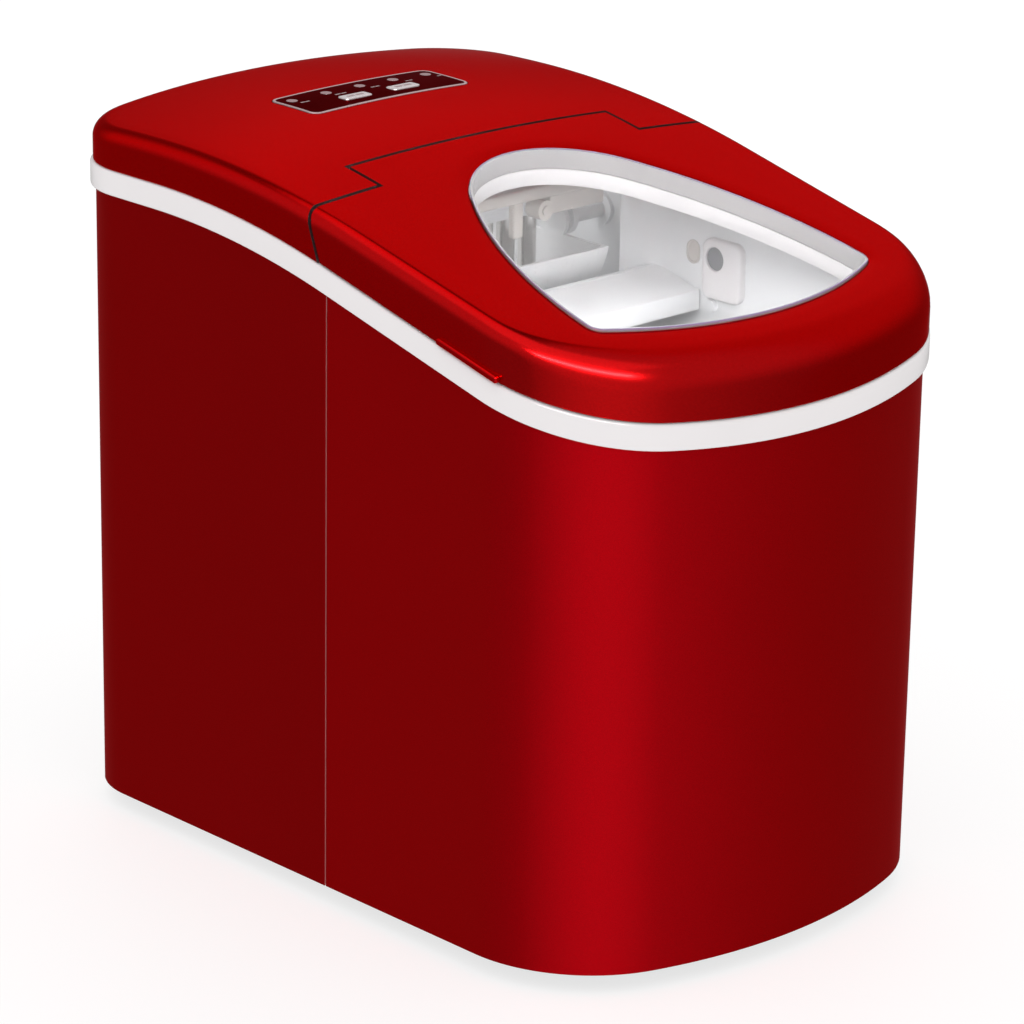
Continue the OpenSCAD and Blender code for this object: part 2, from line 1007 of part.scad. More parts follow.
// Trough that turns about its own axis to let the water and the ice go
module water_tray() {
  wedge = 100;
  color("lightblue", 0.6) {
    difference() {
      along_x(-tray_half, tray_half)
        difference() {
          translate([tray_y, tray_z])
            circle(r = tray_r + 2, $fn = 96);
          translate([tray_y, tray_z])
            circle(r = tray_r, $fn = 96);
          translate([tray_y - wedge, tray_z - 6])
            square([2 * wedge, wedge]);
        }
    }
    for (s = [-1, 1])
      scale([s, 1, 1]) {
        along_x(tray_half, tray_half + 2)
          union() {
            difference() {
              translate([tray_y, tray_z])
                circle(r = tray_r + 2, $fn = 96);
              translate([tray_y - wedge, tray_z - 6])
                square([2 * wedge, wedge]);
            }
            translate([tray_y, tray_z])
              circle(r = 9);
          }
        translate([tray_half + 2, tray_y, tray_z])
          rotate([0, 90, 0])
            cylinder(h = 32, r = 4);
      }
  }
}

shovel_r = 36.8;

// Curved blade on two arms that sweeps the ice forwards
module ice_shovel() {
  color("lightblue", 0.6) {
    along_x(-76, 76)
      intersection() {
        difference() {
          translate([tray_y, tray_z])
            circle(r = shovel_r + 2, $fn = 96);
          translate([tray_y, tray_z])
            circle(r = shovel_r, $fn = 96);
        }
        polygon([[tray_y, tray_z], [tray_y + 8, tray_z - 80], [tray_y + 80, tray_z - 50]]);
      }
    for (s = [-1, 1])
      scale([s, 1, 1])
        difference() {
          along_x(76, 79)
            union() {
              translate([tray_y, tray_z])
                circle(r = 8);
              intersection() {
                translate([tray_y, tray_z])
                  circle(r = shovel_r + 2, $fn = 96);
                polygon([[tray_y, tray_z], [tray_y + 8, tray_z - 80], [tray_y + 80, tray_z - 50]]);
              }
            }
          translate([60, tray_y, tray_z])
            rotate([0, 90, 0])
              cylinder(h = 30, r = 4 + clear);
        }
  }
}

module tray_bushes() {
  color("ivory")
    for (s = [-1, 1])
      scale([s, 1, 1])
        translate([0, tray_y, tray_z])
          rotate([0, 90, 0])
            difference() {
              union() {
                translate([0, 0, 99.3])
                  cylinder(h = 1.7, r = 8);
                translate([0, 0, 99.3])
                  cylinder(h = 4.6, r = 5.98);
              }
              translate([0, 0, 90])
                cylinder(h = 30, r = 4 + clear);
            }
}

module tray_motor() {
  color("silver")
    translate([tub_w + 0.1, tray_y, tray_z])
      rotate([0, 90, 0])
        difference() {
          cylinder(h = 10.6, r = 15);
          translate([0, 0, -1])
            cylinder(h = 4, r = 6.2);
        }
}

// ---------------------------------------------------------------- basket

basket_front = -152;
basket_back = -20;
basket_low = 128;
basket_rim = 228;
basket_w = 92;

function basket_ring(t) =
  outline(basket_w - t, basket_front + t, basket_back - t, 44 - t, 215 - t, 12 - t, 700 - t);

module ice_basket() {
  color("white")
    difference() {
      union() {
        translate([0, 0, basket_low])
          linear_extrude(basket_rim - basket_low)
            polygon(basket_ring(0));
        translate([0, 0, basket_rim - 3])
          linear_extrude(3)
            polygon(basket_ring(-3.5));
      }
      translate([0, 0, basket_low + 2])
        linear_extrude(200)
          polygon(basket_ring(2));
      for (i = [-5 : 5], y = [-130, -82])
        translate([i * 14 - 2.5, y, basket_low - 1])
          cube([5, 36, 6]);
      for (i = [0 : 5])
        translate([-150, -100 + i * 13, basket_low + 16])
          cube([300, 5, 34]);
    }
}

// ---------------------------------------------------------------- water

module water_pump() {
  color("gray") {
    translate([30, 62, 40])
      cylinder(h = 30, r = 15);
    translate([30, 62, 70])
      cylinder(h = 14, r = 11);
    translate([30, 0, 56])
      rotate([-90, 0, 0])
        difference() {
          translate([0, 0, 26])
            cylinder(h = 30, r = 4);
          translate([0, 0, 25])
            cylinder(h = 20, r = 2.5);
        }
    translate([22, 54, foot_h + 3.1])
      cube([16, 16, 40 - foot_h - 3.1]);
    bar([44, 62, 50], [50, 62, 50], 4);
  }
}

// Route of the hose from the pump up to the fill spout
hose_route = [
  [50.3, 62, 50], [54, 62, 50.2], [58.5, 61.5, 53], [60, 60, 61], [59, 54, 82], [58, 50, 140],
  [60, 56, 184], [60, 82, 199], [60, 101.5, 210], [60, 106, 232], [60, 107, 270], [60, 107.5, 291],
  [60, 106.6, 298.6], [60, 104, 301], [60, 101.5, 301]
];

module pump_hose() {
  color("lightgray")
    tube(hose_route, 4);
}

module fill_spout() {
  color("white") {
    pipe([60, 66, 301], [60, 101, 301], 3, 2);
  }
}

module drain_cap() {
  color("white")
    translate([drain_x, drain_y, 0])
      difference() {
        union() {
          translate([0, 0, 1.4])
            cylinder(h = 12, r = 11);
          for (i = [0 : 11])
            rotate(i * 30)
              translate([10.7, 0, 1.4])
                cylinder(h = 10, r = 1, $fn = 16);
        }
        translate([0, 0, 3.4])
          cylinder(h = 20, r = drain_r + clear);
      }
}

module drain_seal() {
  color("dimgray")
    translate([drain_x, drain_y, 3.45])
      cylinder(h = 2.2, r = drain_r - 0.1);
}

// ---------------------------------------------------------------- cooling

module compressor() {
  r = 46;
  color("black")
    translate([compressor_x, compressor_y, 0]) {
      translate([0, 0, 30])
        rotate_extrude()
          polygon(concat(
            [[0, 0]], arc(r - 14, 14, 14, -90, 0, 6), [[r, 14]], [[r, 60], [r + 2, 60], [r + 2, 66], [r, 66]],
            arc(r - 24, 112, 24, 0, 90, 8), [[r - 24, 136], [0, 138]]
          ));
      for (x = [-36, 36])
        translate([x - 9, -40, 24])
          cube([18, 80, 9]);
      translate([24, 0, 160])
        cylinder(h = 24, r = 3.5);
      translate([-20, 24, 160])
        cylinder(h = 24, r = 4);
    }
}

module compressor_cap() {
  color("dimgray")
    translate([compressor_x - 18, compressor_y - 64, 90])
      cube([36, 15.6, 34]);
}

module compressor_grommets() {
  color("dimgray")
    for (x = [-36, 36], y = [-34, 34])
      translate([compressor_x + x, compressor_y + y, foot_h + 3.1])
        difference() {
          cylinder(h = 23.9 - foot_h - 3.1, r = 7.5);
          translate([0, 0, -1])
            cylinder(h = 30, r = 3);
        }
}

fin_count = 18;

module condenser_fins() {
  color("silver")
    for (i = [0 : fin_count - 1])
      translate([90, 62, 28 + i * 6])
        cube([18, 88, 0.6]);
}

module condenser_tube() {
  color("peru")
    for (x = [95, 103], y = [70, 88, 106, 124, 142])
      translate([x, y, 24])
        cylinder(h = 112, r = 3);
  color("peru")
    for (y = [70, 88, 106, 124, 142])
      bar([95, y, 137.5], [103, y, 137.5], 3);
}

module fan_shroud() {
  color("dimgray")
    difference() {
      union() {
        difference() {
          translate([66, 62, 24])
            cube([22, 90, 112]);
          translate([68, 64, 26])
            cube([30, 86, 108]);
        }
        for (a = [45, 135])
          translate([65, fan_y, fan_z])
            rotate([a, 0, 0])
              translate([0, -46, -2])
                cube([2, 92, 4]);
      }
      difference() {
        translate([60, fan_y, fan_z])
          rotate([0, 90, 0])
            cylinder(h = 10, r = 41, $fn = 96);
        for (a = [45, 135])
          translate([60, fan_y, fan_z])
            rotate([a, 0, 0])
              translate([0, -46, -2])
                cube([10, 92, 4]);
        translate([60, fan_y, fan_z])
          rotate([0, 90, 0])
            cylinder(h = 10, r = 16);
      }
      translate([60, fan_y, fan_z])
        rotate([0, 90, 0])
          cylinder(h = 10, r = 14.5);
    }
}

module fan_motor() {
  color("silver") {
    translate([44, fan_y, fan_z])
      rotate([0, 90, 0])
        cylinder(h = 20, r = 17);
    translate([60, fan_y, fan_z])
      rotate([0, 90, 0])
        cylinder(h = 9, r = 14.4);
    translate([60, fan_y, fan_z])
      rotate([0, 90, 0])
        cylinder(h = 20, r = 2);
  }
}

module fan_blades() {
  color("dimgray")
    difference() {
      union() {
        translate([70.5, fan_y, fan_z])
          rotate([0, 90, 0])
            cylinder(h = 12, r = 13);
        for (i = [0 : 4])
          translate([76.5, fan_y, fan_z])
            rotate([i * 72, 0, 0])
              translate([0, 0, 23])
                rotate([0, 0, 32])
                  cube([1.6, 16, 28], center = true);
      }
      translate([65, fan_y, fan_z])
        rotate([0, 90, 0])
          cylinder(h = 16, r = 2 + clear);
    }
}

module drier_filter() {
  color("peru")
    translate([16, 162, 60]) {
      cylinder(h = 50, r = 8);
      translate([0, 0, -8])
        cylinder(h = 66, r = 3);
    }
}

module gas_valve() {
  color("slategray") {
    translate([30, 150, 160])
      cube([24, 20, 30]);
    bar([42, 160, 150], [42, 160, 200], 4);
  }
}

// Routes of the refrigerant tubes, through hand placed points
discharge_route = [
  [-28, 108, 184.5], [-28, 108, 193], [-20, 112, 202], [0, 124, 208], [28, 142, 214], [41, 157, 213],
  [42, 160, 206], [42, 160, 200.5]
];
suction_route = [
  [-72, 132, 184.5], [-72, 132, 200], [-72, 130, 240], [-70, 122, 280], [-66, 108, 305], [-60, 84, 313.5],
  [-51, 64, 316.6], [-46, 54.5, 316.2], [-46, 51.2, 313.8], [-46, 51, 310.4]
];

hot_gas_route = [
  [42, 160, 149.5], [42, 160, 144], [45, 161, 138], [53, 163, 137], [58, 164.5, 144], [59, 165, 160],
  [59, 165, 200], [59, 160, 260], [59, 140, 296], [59, 112, 310.5], [57, 84, 314.6], [51, 64, 316.8],
  [46, 54.5, 316.2], [46, 51.2, 313.8], [46, 51, 310.4]
];
liquid_route = [
  [95, 142, 23.2], [95, 142, 19.5], [88, 145, 16], [60, 154, 16], [28, 160, 18], [17, 162, 27],
  [16, 162, 40], [16, 162, 51.5]
];
capillary_route = [
  [16, 162, 118.5], [16, 162, 127], [20, 164, 134], [30, 166, 140], [44, 166.5, 147], [55.6, 165.1, 150]
];

module hot_gas_tube() {
  color("peru")
    tube(hot_gas_route, 2.6);
}

module liquid_tube() {
  color("peru")
    tube(liquid_route, 2.6);
}

module capillary_tube() {
  color("peru")
    tube(capillary_route, 1.2);
}

module discharge_tube() {
  color("peru")
    tube(discharge_route, 2.6);
}

module suction_tube() {
  color("peru")
    tube(suction_route, 2.8);
}

wiring_route = [
  [-30, 112, 303.4], [-30, 112, 294], [-34, 115, 280], [-44, 118, 262], [-34, 124, 226], [-18, 108, 208], [-18, 70, 196],
  [-40, 48, 170], [-51, 46, 146], [-52, 48, 132], [-52, 48, 124.5]
];

module wiring() {
  color("black")
    tube(wiring_route, 2.5);
}

// ---------------------------------------------------------------- nodes

base_pan();
foot(-78, -118);  // foot_front_left
foot(78, -118);  // foot_front_right
foot(-78, 138);  // foot_rear_left
foot(78, 138);  // foot_rear_right
foot_screws();
front_wrap();
rear_wrap();
wrap_screws();
trim_band();
rear_cover();
panel_bezel();
control_panel();
indicator_lights();
control_board();
button_switches();
hinge_pins();
inner_tub();
tub_insulation();
bulkhead();
ice_chute();
evaporator();
evaporator_fingers();
evaporator_bracket();
evaporator_cover();
tray_bushes();
tray_motor();
sensor_housings();
sensor_lenses();
water_pump();
pump_hose();
fill_spout();
compressor();
compressor_cap();
compressor_grommets();
condenser_fins();
condenser_tube();
fan_shroud();
fan_motor();
drier_filter();
gas_valve();
discharge_tube();
suction_tube();
hot_gas_tube();
liquid_tube();
capillary_tube();
wiring();
cord_gland();
lid_shell();
window_pane();
lid_liner();
lid_screws();
fan_blades();
water_tray();
ice_shovel();
ice_basket();
push_button(-button_x);  // power_button
push_button(button_x);  // select_button
drain_cap();
drain_seal();
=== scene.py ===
import math

import bmesh
import bpy
from bpy.props import FloatProperty, FloatVectorProperty, PointerProperty
from mathutils import Matrix, Vector


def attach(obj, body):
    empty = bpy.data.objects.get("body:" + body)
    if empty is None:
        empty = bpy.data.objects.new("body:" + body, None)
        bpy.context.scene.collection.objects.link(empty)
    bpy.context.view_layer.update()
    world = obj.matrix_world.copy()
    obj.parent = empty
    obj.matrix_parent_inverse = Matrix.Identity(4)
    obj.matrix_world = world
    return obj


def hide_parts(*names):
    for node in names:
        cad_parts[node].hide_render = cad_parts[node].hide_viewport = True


bl_info = {
    "name": "Countertop Ice Maker",
    "version": (1, 0, 0),
    "blender": (4, 5, 0),
    "location": "View3D > Sidebar > Ice Maker",
    "description": "Builds the visible parts, the materials and the studio of a countertop ice maker",
    "category": "Object",
}

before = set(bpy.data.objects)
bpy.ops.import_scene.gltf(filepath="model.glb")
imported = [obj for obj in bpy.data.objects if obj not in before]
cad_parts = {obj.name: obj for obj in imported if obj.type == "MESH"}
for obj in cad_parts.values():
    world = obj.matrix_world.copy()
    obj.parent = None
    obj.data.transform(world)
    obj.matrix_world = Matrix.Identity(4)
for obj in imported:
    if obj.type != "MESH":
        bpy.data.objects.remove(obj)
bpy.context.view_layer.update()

MM = 0.001
HALF_W = 120.5
HALF_D = 179.0
# Where the side walls meet, and how far they stand in from the white band
SEAM_Y = -7.4
WRAP_INSET = 2.36
# Radii of the case in plan: front corners, front bow, rear corners and rear bow
CASE_ROUNDS = (67.6, 235, 39, 534)
# Height of the white band
BAND_H = 11.4
# The window's arcs: radii of its rear, sides, front and corners, and how far its rear arc turns
WINDOW_REAR_R, WINDOW_SIDE_R, WINDOW_FRONT_R, WINDOW_CORNER_R = 58, 203, 182, 7
WINDOW_TURN = 55.8
WINDOW_BACK, WINDOW_FRONT = 5.3, -150.5
# The hinge line's y and z
HINGE = (11, 311)
# The control panel's middle, its buttons and its row of lamps
PANEL_Y, BUTTON_Y, LAMP_Y = 97, 91.5, 104.6
BUTTON_X = 14.3
# The drain cap's middle
DRAIN = (32, -150)
BASKET_FLOOR = 128


# ---------------------------------------------------------------- curves of the case, in millimetres

def smooth(t):
    u = min(1.0, max(0.0, t))
    return u * u * (3 - 2 * u)


def ramp(y, flat_y, ramp_y, flat_z, slope):
    """Height that rises on a straight ramp and levels off in a parabola."""
    span = flat_y - ramp_y
    if y > flat_y:
        return flat_z
    if y > ramp_y:
        return flat_z - slope / (2 * span) * (flat_y - y) ** 2
    return flat_z - slope * span / 2 - slope * (ramp_y - y)


def band_low(y):
    return ramp(y, 105, -8.6, 290.9, 0.25)


def band_top(y):
    return band_low(y) + BAND_H


def top_z(x, y):
    side = ramp(y, 104, -24, 321.2, 0.237) - 0.0006 * max(0.0, y - 104) ** 2
    return side + (0.00024 + 0.00021 * smooth((y + 30) / 90)) * (112 ** 2 - x * x)


def edge_r(y):
    return 7 + 7 * smooth((-110 - y) / 55)


def arc(cx, cy, r, start, end, n):
    """n points on an arc, without its last point, angles in degrees."""
    angles = [math.radians(start + (end - start) * i / n) for i in range(n)]
    return [(cx + r * math.cos(a), cy + r * math.sin(a)) for a in angles]


def line(a, b, n):
    return [(a[0] + (b[0] - a[0]) * i / n, a[1] + (b[1] - a[1]) * i / n) for i in range(n)]


def bow_drop(w, r, bow):
    return bow - math.sqrt((bow - r) ** 2 - (w - r) ** 2)


# Points along each part of a ring: front bow, corner, side, rear corner, rear bow
COUNTS = (26, 22, 40, 14, 24)


def outline(w, front, back, fr, fb, rr, rb):
    """Closed outline with bowed ends from tangent arcs, anticlockwise from the front left."""
    bow, corner, side, rear, tail = COUNTS
    fc = front + bow_drop(w, fr, fb)
    rc = back - bow_drop(w, rr, rb)
    fa = math.degrees(math.asin((w - fr) / (fb - fr)))
    ra = math.degrees(math.asin((w - rr) / (rb - rr)))
    return (
        arc(0, front + fb, fb, -90 - fa, -90 + fa, bow)
        + arc(w - fr, fc, fr, -90 + fa, 0, corner)
        + line((w, fc), (w, rc), side)
        + arc(w - rr, rc, rr, 0, 90 - ra, rear)
        + arc(0, back - rb, rb, 90 - ra, 90 + ra, tail)
        + arc(-w + rr, rc, rr, 90 + ra, 180, rear)
        + line((-w, rc), (-w, fc), side)
        + arc(-w + fr, fc, fr, 180, 270 - fa, corner)
    )


def case_ring(t):
    return outline(HALF_W - t, -HALF_D + t, HALF_D - t, *(r - t for r in CASE_ROUNDS))


def cover_ring(t):
    return outline(120.1 - t, -178.6 + t, 177.5 - t, *(r - t for r in CASE_ROUNDS))


def tub_ring(t):
    return outline(103.5 - t, -162 + t, 30 - t, 52 - t, 215 - t, 22 - t, 600 - t)


def basket_ring(t):
    return outline(92 - t, -152 + t, -20 - t, 44 - t, 215 - t, 12 - t, 700 - t)


def circles_meet(a, ra, b, rb):
    """The crossing of two circles that lies to the right of the line from a to b."""
    d = math.hypot(b[0] - a[0], b[1] - a[1])
    s = (ra * ra - rb * rb + d * d) / (2 * d)
    h = math.sqrt(ra * ra - s * s)
    ux, uy = (b[0] - a[0]) / d, (b[1] - a[1]) / d
    return (a[0] + s * ux + h * uy, a[1] + s * uy - h * ux)


def window_ring(t):
    """Outline of the window moved in by t, with as many points as an outline has."""
    bow, corner, side, rear, tail = COUNTS
    tip = (0.0, WINDOW_BACK - WINDOW_REAR_R)
    turn = math.radians(WINDOW_TURN)
    reach = WINDOW_SIDE_R - WINDOW_REAR_R
    arm = (tip[0] - reach * math.sin(turn), tip[1] - reach * math.cos(turn))
    front = (0.0, WINDOW_FRONT + WINDOW_FRONT_R)
    nook = circles_meet(arm, WINDOW_SIDE_R - WINDOW_CORNER_R, front, WINDOW_FRONT_R - WINDOW_CORNER_R)
    to_side = math.degrees(math.atan2(nook[1] - arm[1], nook[0] - arm[0]))
    to_bow = math.degrees(math.atan2(nook[1] - front[1], nook[0] - front[0]))
    right = (
        arc(*front, WINDOW_FRONT_R - t, -90, to_bow, bow // 2)
        + arc(*nook, WINDOW_CORNER_R - t, to_bow, to_side, corner)
        + arc(*arm, WINDOW_SIDE_R - t, to_side, 90 - WINDOW_TURN, side)
        + arc(*tip, WINDOW_REAR_R - t, 90 - WINDOW_TURN, 90, rear + tail // 2)
    )
    right.append((0.0, WINDOW_BACK - t))
    ring = right + [(-x, y) for x, y in reversed(right[1:-1])]
    shift = bow // 2
    return ring[-shift:] + ring[:-shift]


def box_ring(cx, cy, w, d, r):
    """Rectangle with round corners, with as many points as an outline has."""
    bow, corner, side, rear, tail = COUNTS
    x0, x1, y0, y1 = cx - w / 2, cx + w / 2, cy - d / 2, cy + d / 2
    return (
        line((x0 + r, y0), (x1 - r, y0), bow)
        + arc(x1 - r, y0 + r, r, -90, 0, corner)
        + line((x1, y0 + r), (x1, y1 - r), side)
        + arc(x1 - r, y1 - r, r, 0, 90, rear)
        + line((x1 - r, y1), (x0 + r, y1), tail)
        + arc(x0 + r, y1 - r, r, 90, 180, rear)
        + line((x0, y1 - r), (x0, y0 + r), side)
        + arc(x0 + r, y0 + r, r, 180, 270, corner)
    )


# ---------------------------------------------------------------- making meshes

def walk(verts):
    """The verts of one closed loop in order."""
    start = verts[0]
    around = [start]
    before, now = None, start
    while True:
        ahead = [e.other_vert(now) for e in now.link_edges if e.other_vert(now) is not before]
        before, now = now, ahead[0]
        if now is start:
            return around
        around.append(now)


def loop(bm, points):
    made = bmesh.ops.create_circle(bm, cap_ends=False, segments=len(points), radius=1.0)
    ring = walk(made["verts"])
    for v, p in zip(ring, points):
        v.co = p
    return ring


def ring_edges(bm, ring):
    return [bm.edges.get((a, b)) for a, b in zip(ring, ring[1:] + ring[:1])]


def grow(bm, ring, points):
    """Extrudes a ring to new points and returns the new ring in the same order."""
    made = bmesh.ops.extrude_edge_only(bm, edges=ring_edges(bm, ring))
    fresh = {v for v in made["geom"] if isinstance(v, bmesh.types.BMVert)}
    ahead = [next(e.other_vert(v) for e in v.link_edges if e.other_vert(v) in fresh) for v in ring]
    for v, p in zip(ahead, points):
        v.co = p
    return ahead


def stack(bm, levels, closed=False):
    """Skins a row of rings. A closed stack joins the last ring to the first."""
    first = ring = loop(bm, levels[0])
    for points in levels[1:]:
        ring = grow(bm, ring, points)
    if closed:
        bmesh.ops.bridge_loops(bm, edges=ring_edges(bm, first) + ring_edges(bm, ring))
    return first, ring


def cap(bm, ring):
    """Closes a ring with a face that is divided towards its middle."""
    face = bm.faces.new(ring)
    bmesh.ops.poke(bm, faces=[face])


def at(points, z):
    """Gives a flat ring its height: a number, or a function of x and y."""
    return [(x, y, z(x, y) if callable(z) else z) for x, y in points]


def cut(bm, co, no, outer=False, inner=False, fill=False):
    geom = bm.verts[:] + bm.edges[:] + bm.faces[:]
    made = bmesh.ops.bisect_plane(
        bm, geom=geom, dist=1e-5, plane_co=co, plane_no=no, clear_outer=outer, clear_inner=inner)
    if fill:
        edges = [e for e in made["geom_cut"] if isinstance(e, bmesh.types.BMEdge)]
        bmesh.ops.holes_fill(bm, edges=edges, sides=0)


def blocks(bm, low, high):
    """A box between two corners."""
    made = bmesh.ops.create_cube(bm, size=1.0)
    size = [b - a for a, b in zip(low, high)]
    middle = [(a + b) / 2 for a, b in zip(low, high)]
    bmesh.ops.scale(bm, vec=size, verts=made["verts"])
    bmesh.ops.translate(bm, vec=middle, verts=made["verts"])
    return made["verts"]


def rod(bm, start, end, r, segments=32, far_r=None):
    start, end = Vector(start), Vector(end)
    way = end - start
    turn = way.to_track_quat("Z", "Y").to_matrix().to_4x4()
    bmesh.ops.create_cone(
        bm, cap_ends=True, segments=segments, radius1=r, radius2=r if far_r is None else far_r,
        depth=way.length, matrix=Matrix.Translation((start + end) / 2) @ turn)


def lathe(bm, profile, middle, axis, segments=64):
    """Spins a closed row of (radius, height) points about an axis through middle."""
    part = bmesh.new()
    row = [part.verts.new((r, 0, h)) for r, h in profile]
    if profile[0][0] > 0:
        row.append(row[0])
    edges = [part.edges.new(pair) for pair in zip(row, row[1:])]
    bmesh.ops.spin(
        part, geom=part.verts[:] + edges, cent=(0, 0, 0), axis=(0, 0, 1), dvec=(0, 0, 0), angle=math.tau,
        steps=segments, use_merge=True, use_duplicate=False)
    bmesh.ops.remove_doubles(part, verts=part.verts[:], dist=1e-4)
    bmesh.ops.recalc_face_normals(part, faces=part.faces[:])
    turn = Vector(axis).to_track_quat("Z", "Y").to_matrix().to_4x4()
    bmesh.ops.transform(part, matrix=Matrix.Translation(middle) @ turn, verts=part.verts[:])
    mesh = bpy.data.meshes.new("turned")
    part.to_mesh(mesh)
    part.free()
    bm.from_mesh(mesh)
    bpy.data.meshes.remove(mesh)


def soften(bm, verts, offset, segments):
    """Rounds every edge between the given verts."""
    edges = list({e for v in verts for e in v.link_edges})
    bmesh.ops.bevel(
        bm, geom=edges, offset=offset, segments=segments, profile=0.5, affect="EDGES", material=-1,
        clamp_overlap=True)


def foot_round(r, inset, z, angles):
    """Rows of (inset, height) that lead from a floor into a wall round a fillet."""
    turns = [math.radians(a) for a in angles]
    return [(inset + r - r * math.sin(a), z + r - r * math.cos(a)) for a in turns]


def tidy(bm):
    bmesh.ops.remove_doubles(bm, verts=bm.verts[:], dist=1e-4)
    bmesh.ops.dissolve_degenerate(bm, edges=bm.edges[:], dist=1e-4)
    bmesh.ops.recalc_face_normals(bm, faces=bm.faces[:])


def turn_out(bm, face, way):
    """Turns an open skin over if the given face looks against the given direction."""
    if face.normal.dot(way) < 0:
        bmesh.ops.reverse_faces(bm, faces=bm.faces[:])


def piece(name, bm, body, material, stands_for=(), sharp=32, wall=0, rim=0, rim_steps=2, edge=None):
    """Turns a mesh in millimetres into a finished piece that rides on a body.

    wall is the thickness given to an open skin, rim the rounding of its edges, and edge the
    material of its cut edges.
    """
    bmesh.ops.scale(bm, vec=(MM, MM, MM), verts=bm.verts[:])
    mesh = bpy.data.meshes.new(name)
    bm.to_mesh(mesh)
    bm.free()
    for face in mesh.polygons:
        face.use_smooth = True
    mesh.set_sharp_from_angle(angle=math.radians(sharp))
    obj = bpy.data.objects.new(name, mesh)
    bpy.context.scene.collection.objects.link(obj)
    for one in material if isinstance(material, (list, tuple)) else [material]:
        mesh.materials.append(one)
    if wall:
        solid = obj.modifiers.new("Wall", "SOLIDIFY")
        solid.thickness = wall * MM
        solid.offset = -1
        solid.use_even_offset = True
        if edge:
            mesh.materials.append(edge)
            solid.material_offset_rim = 1
    if rim:
        bevel = obj.modifiers.new("Rim", "BEVEL")
        bevel.width = rim * MM
        bevel.segments = rim_steps
        bevel.limit_method = "ANGLE"
        bevel.angle_limit = math.radians(50)
        bevel.harden_normals = True
        bevel.use_clamp_overlap = True
        bevel.material = 0
    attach(obj, body)
    if stands_for:
        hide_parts(*stands_for)
    return obj


# ---------------------------------------------------------------- materials

def new_material(name, **values):
    mat = bpy.data.materials.new(name)
    mat.use_nodes = True
    tree = mat.node_tree
    shader = tree.nodes["Principled BSDF"]
    for socket, value in values.items():
        shader.inputs[socket.replace("_", " ")].default_value = value
    return mat, tree, shader


def node(tree, kind, inputs=None, **attributes):
    made = tree.nodes.new(kind)
    for key, value in attributes.items():
        setattr(made, key, value)
    for key, value in (inputs or {}).items():
        if isinstance(value, bpy.types.NodeSocket):
            tree.links.new(value, made.inputs[key])
        else:
            made.inputs[key].default_value = value
    return made


def maths(tree, operation, *values):
    return node(tree, "ShaderNodeMath", dict(enumerate(values)), operation=operation).outputs[0]


def wire(shader, **sockets):
    """Links values to a shader's sockets."""
    for socket, value in sockets.items():
        shader.id_data.links.new(value, shader.inputs[socket.replace("_", " ")])


def place(tree, stretch=(1, 1, 1), turn=(0, 0, 0)):
    coords = node(tree, "ShaderNodeTexCoord")
    return node(tree, "ShaderNodeMapping", {
        "Vector": coords.outputs["Object"], "Scale": stretch, "Rotation": turn}).outputs["Vector"]


def noise(tree, scale, detail=2.0, roughness=0.5, stretch=(1, 1, 1)):
    return node(tree, "ShaderNodeTexNoise", {
        "Vector": place(tree, stretch), "Scale": scale, "Detail": detail, "Roughness": roughness,
    }).outputs["Fac"]


def ramp_colour(tree, fac, low, high, start=0.3, end=0.7):
    made = node(tree, "ShaderNodeValToRGB", {"Fac": fac})
    stops = made.color_ramp.elements
    stops[0].position, stops[1].position = start, end
    stops[0].color, stops[1].color = (*low, 1), (*high, 1)
    return made.outputs["Color"]


def vary_colour(tree, fac, colour, less, more):
    """A colour that wanders between two shares of itself."""
    return ramp_colour(tree, fac, [c * less for c in colour], [min(1.0, c * more) for c in colour])


def spread(tree, value, low, high, start=0.3, end=0.7):
    return node(tree, "ShaderNodeMapRange", {
        "Value": value, "From Min": start, "From Max": end, "To Min": low, "To Max": high}).outputs["Result"]


def bump(tree, shader, height, strength, depth):
    made = node(tree, "ShaderNodeBump", {"Height": height, "Strength": strength, "Distance": depth})
    wire(shader, Normal=made.outputs["Normal"])


def once(make, *looks, **values):
    """A material that is made when a piece first asks for it, and used again."""
    made = []

    def fetch():
        if not made:
            made.append(make(*looks, **values))
        return made[0]
    return fetch


def red_lacquer(name, colour, rough, coat):
    mat, tree, shader = new_material(
        name, Metallic=1.0, Coat_Weight=coat, Coat_Roughness=0.05, Coat_IOR=1.4,
        Specular_Tint=(1.0, 0.03, 0.035, 1))
    flake, cloud = noise(tree, 2600, 1.0), noise(tree, 14, 3.0)
    wire(shader, Base_Color=vary_colour(tree, flake, colour, 0.86, 1.1),
         Roughness=spread(tree, cloud, rough - 0.015, rough + 0.015))
    bump(tree, shader, noise(tree, 420, 1.0), 0.03, 0.0002)
    return mat


@once
def wall_lacquer():
    looks = bpy.context.scene.maker_looks
    return red_lacquer("red lacquer on the case", looks.case_red, looks.case_roughness, 0.08)


@once
def rear_wall_shaded_lacquer():
    looks = bpy.context.scene.maker_looks
    # The case red darkened to 0.85: painted shade on the rear wall, a shaded copy of the same lacquer
    shaded_red = [c * 0.85 for c in looks.case_red]
    return red_lacquer("red lacquer with painted shade on the rear wall", shaded_red, looks.case_roughness, 0.08)


@once
def cover_lacquer():
    looks = bpy.context.scene.maker_looks
    return red_lacquer("red lacquer on the covers", looks.cover_red, looks.cover_roughness, 0.03)


def plastic(name, colour, rough, grain, grain_depth, vary, coat=0.0, **values):
    mat, tree, shader = new_material(name, Coat_Weight=coat, Coat_Roughness=0.05, **values)
    cloud = vary_colour(tree, noise(tree, 22, 3.0), colour, 1 - vary, 1 + vary)
    fine = noise(tree, grain, 2.0)
    wire(shader, Base_Color=cloud, Roughness=spread(tree, fine, rough * 0.9, min(1.0, rough * 1.1)))
    bump(tree, shader, fine, 0.25, grain_depth)
    return mat


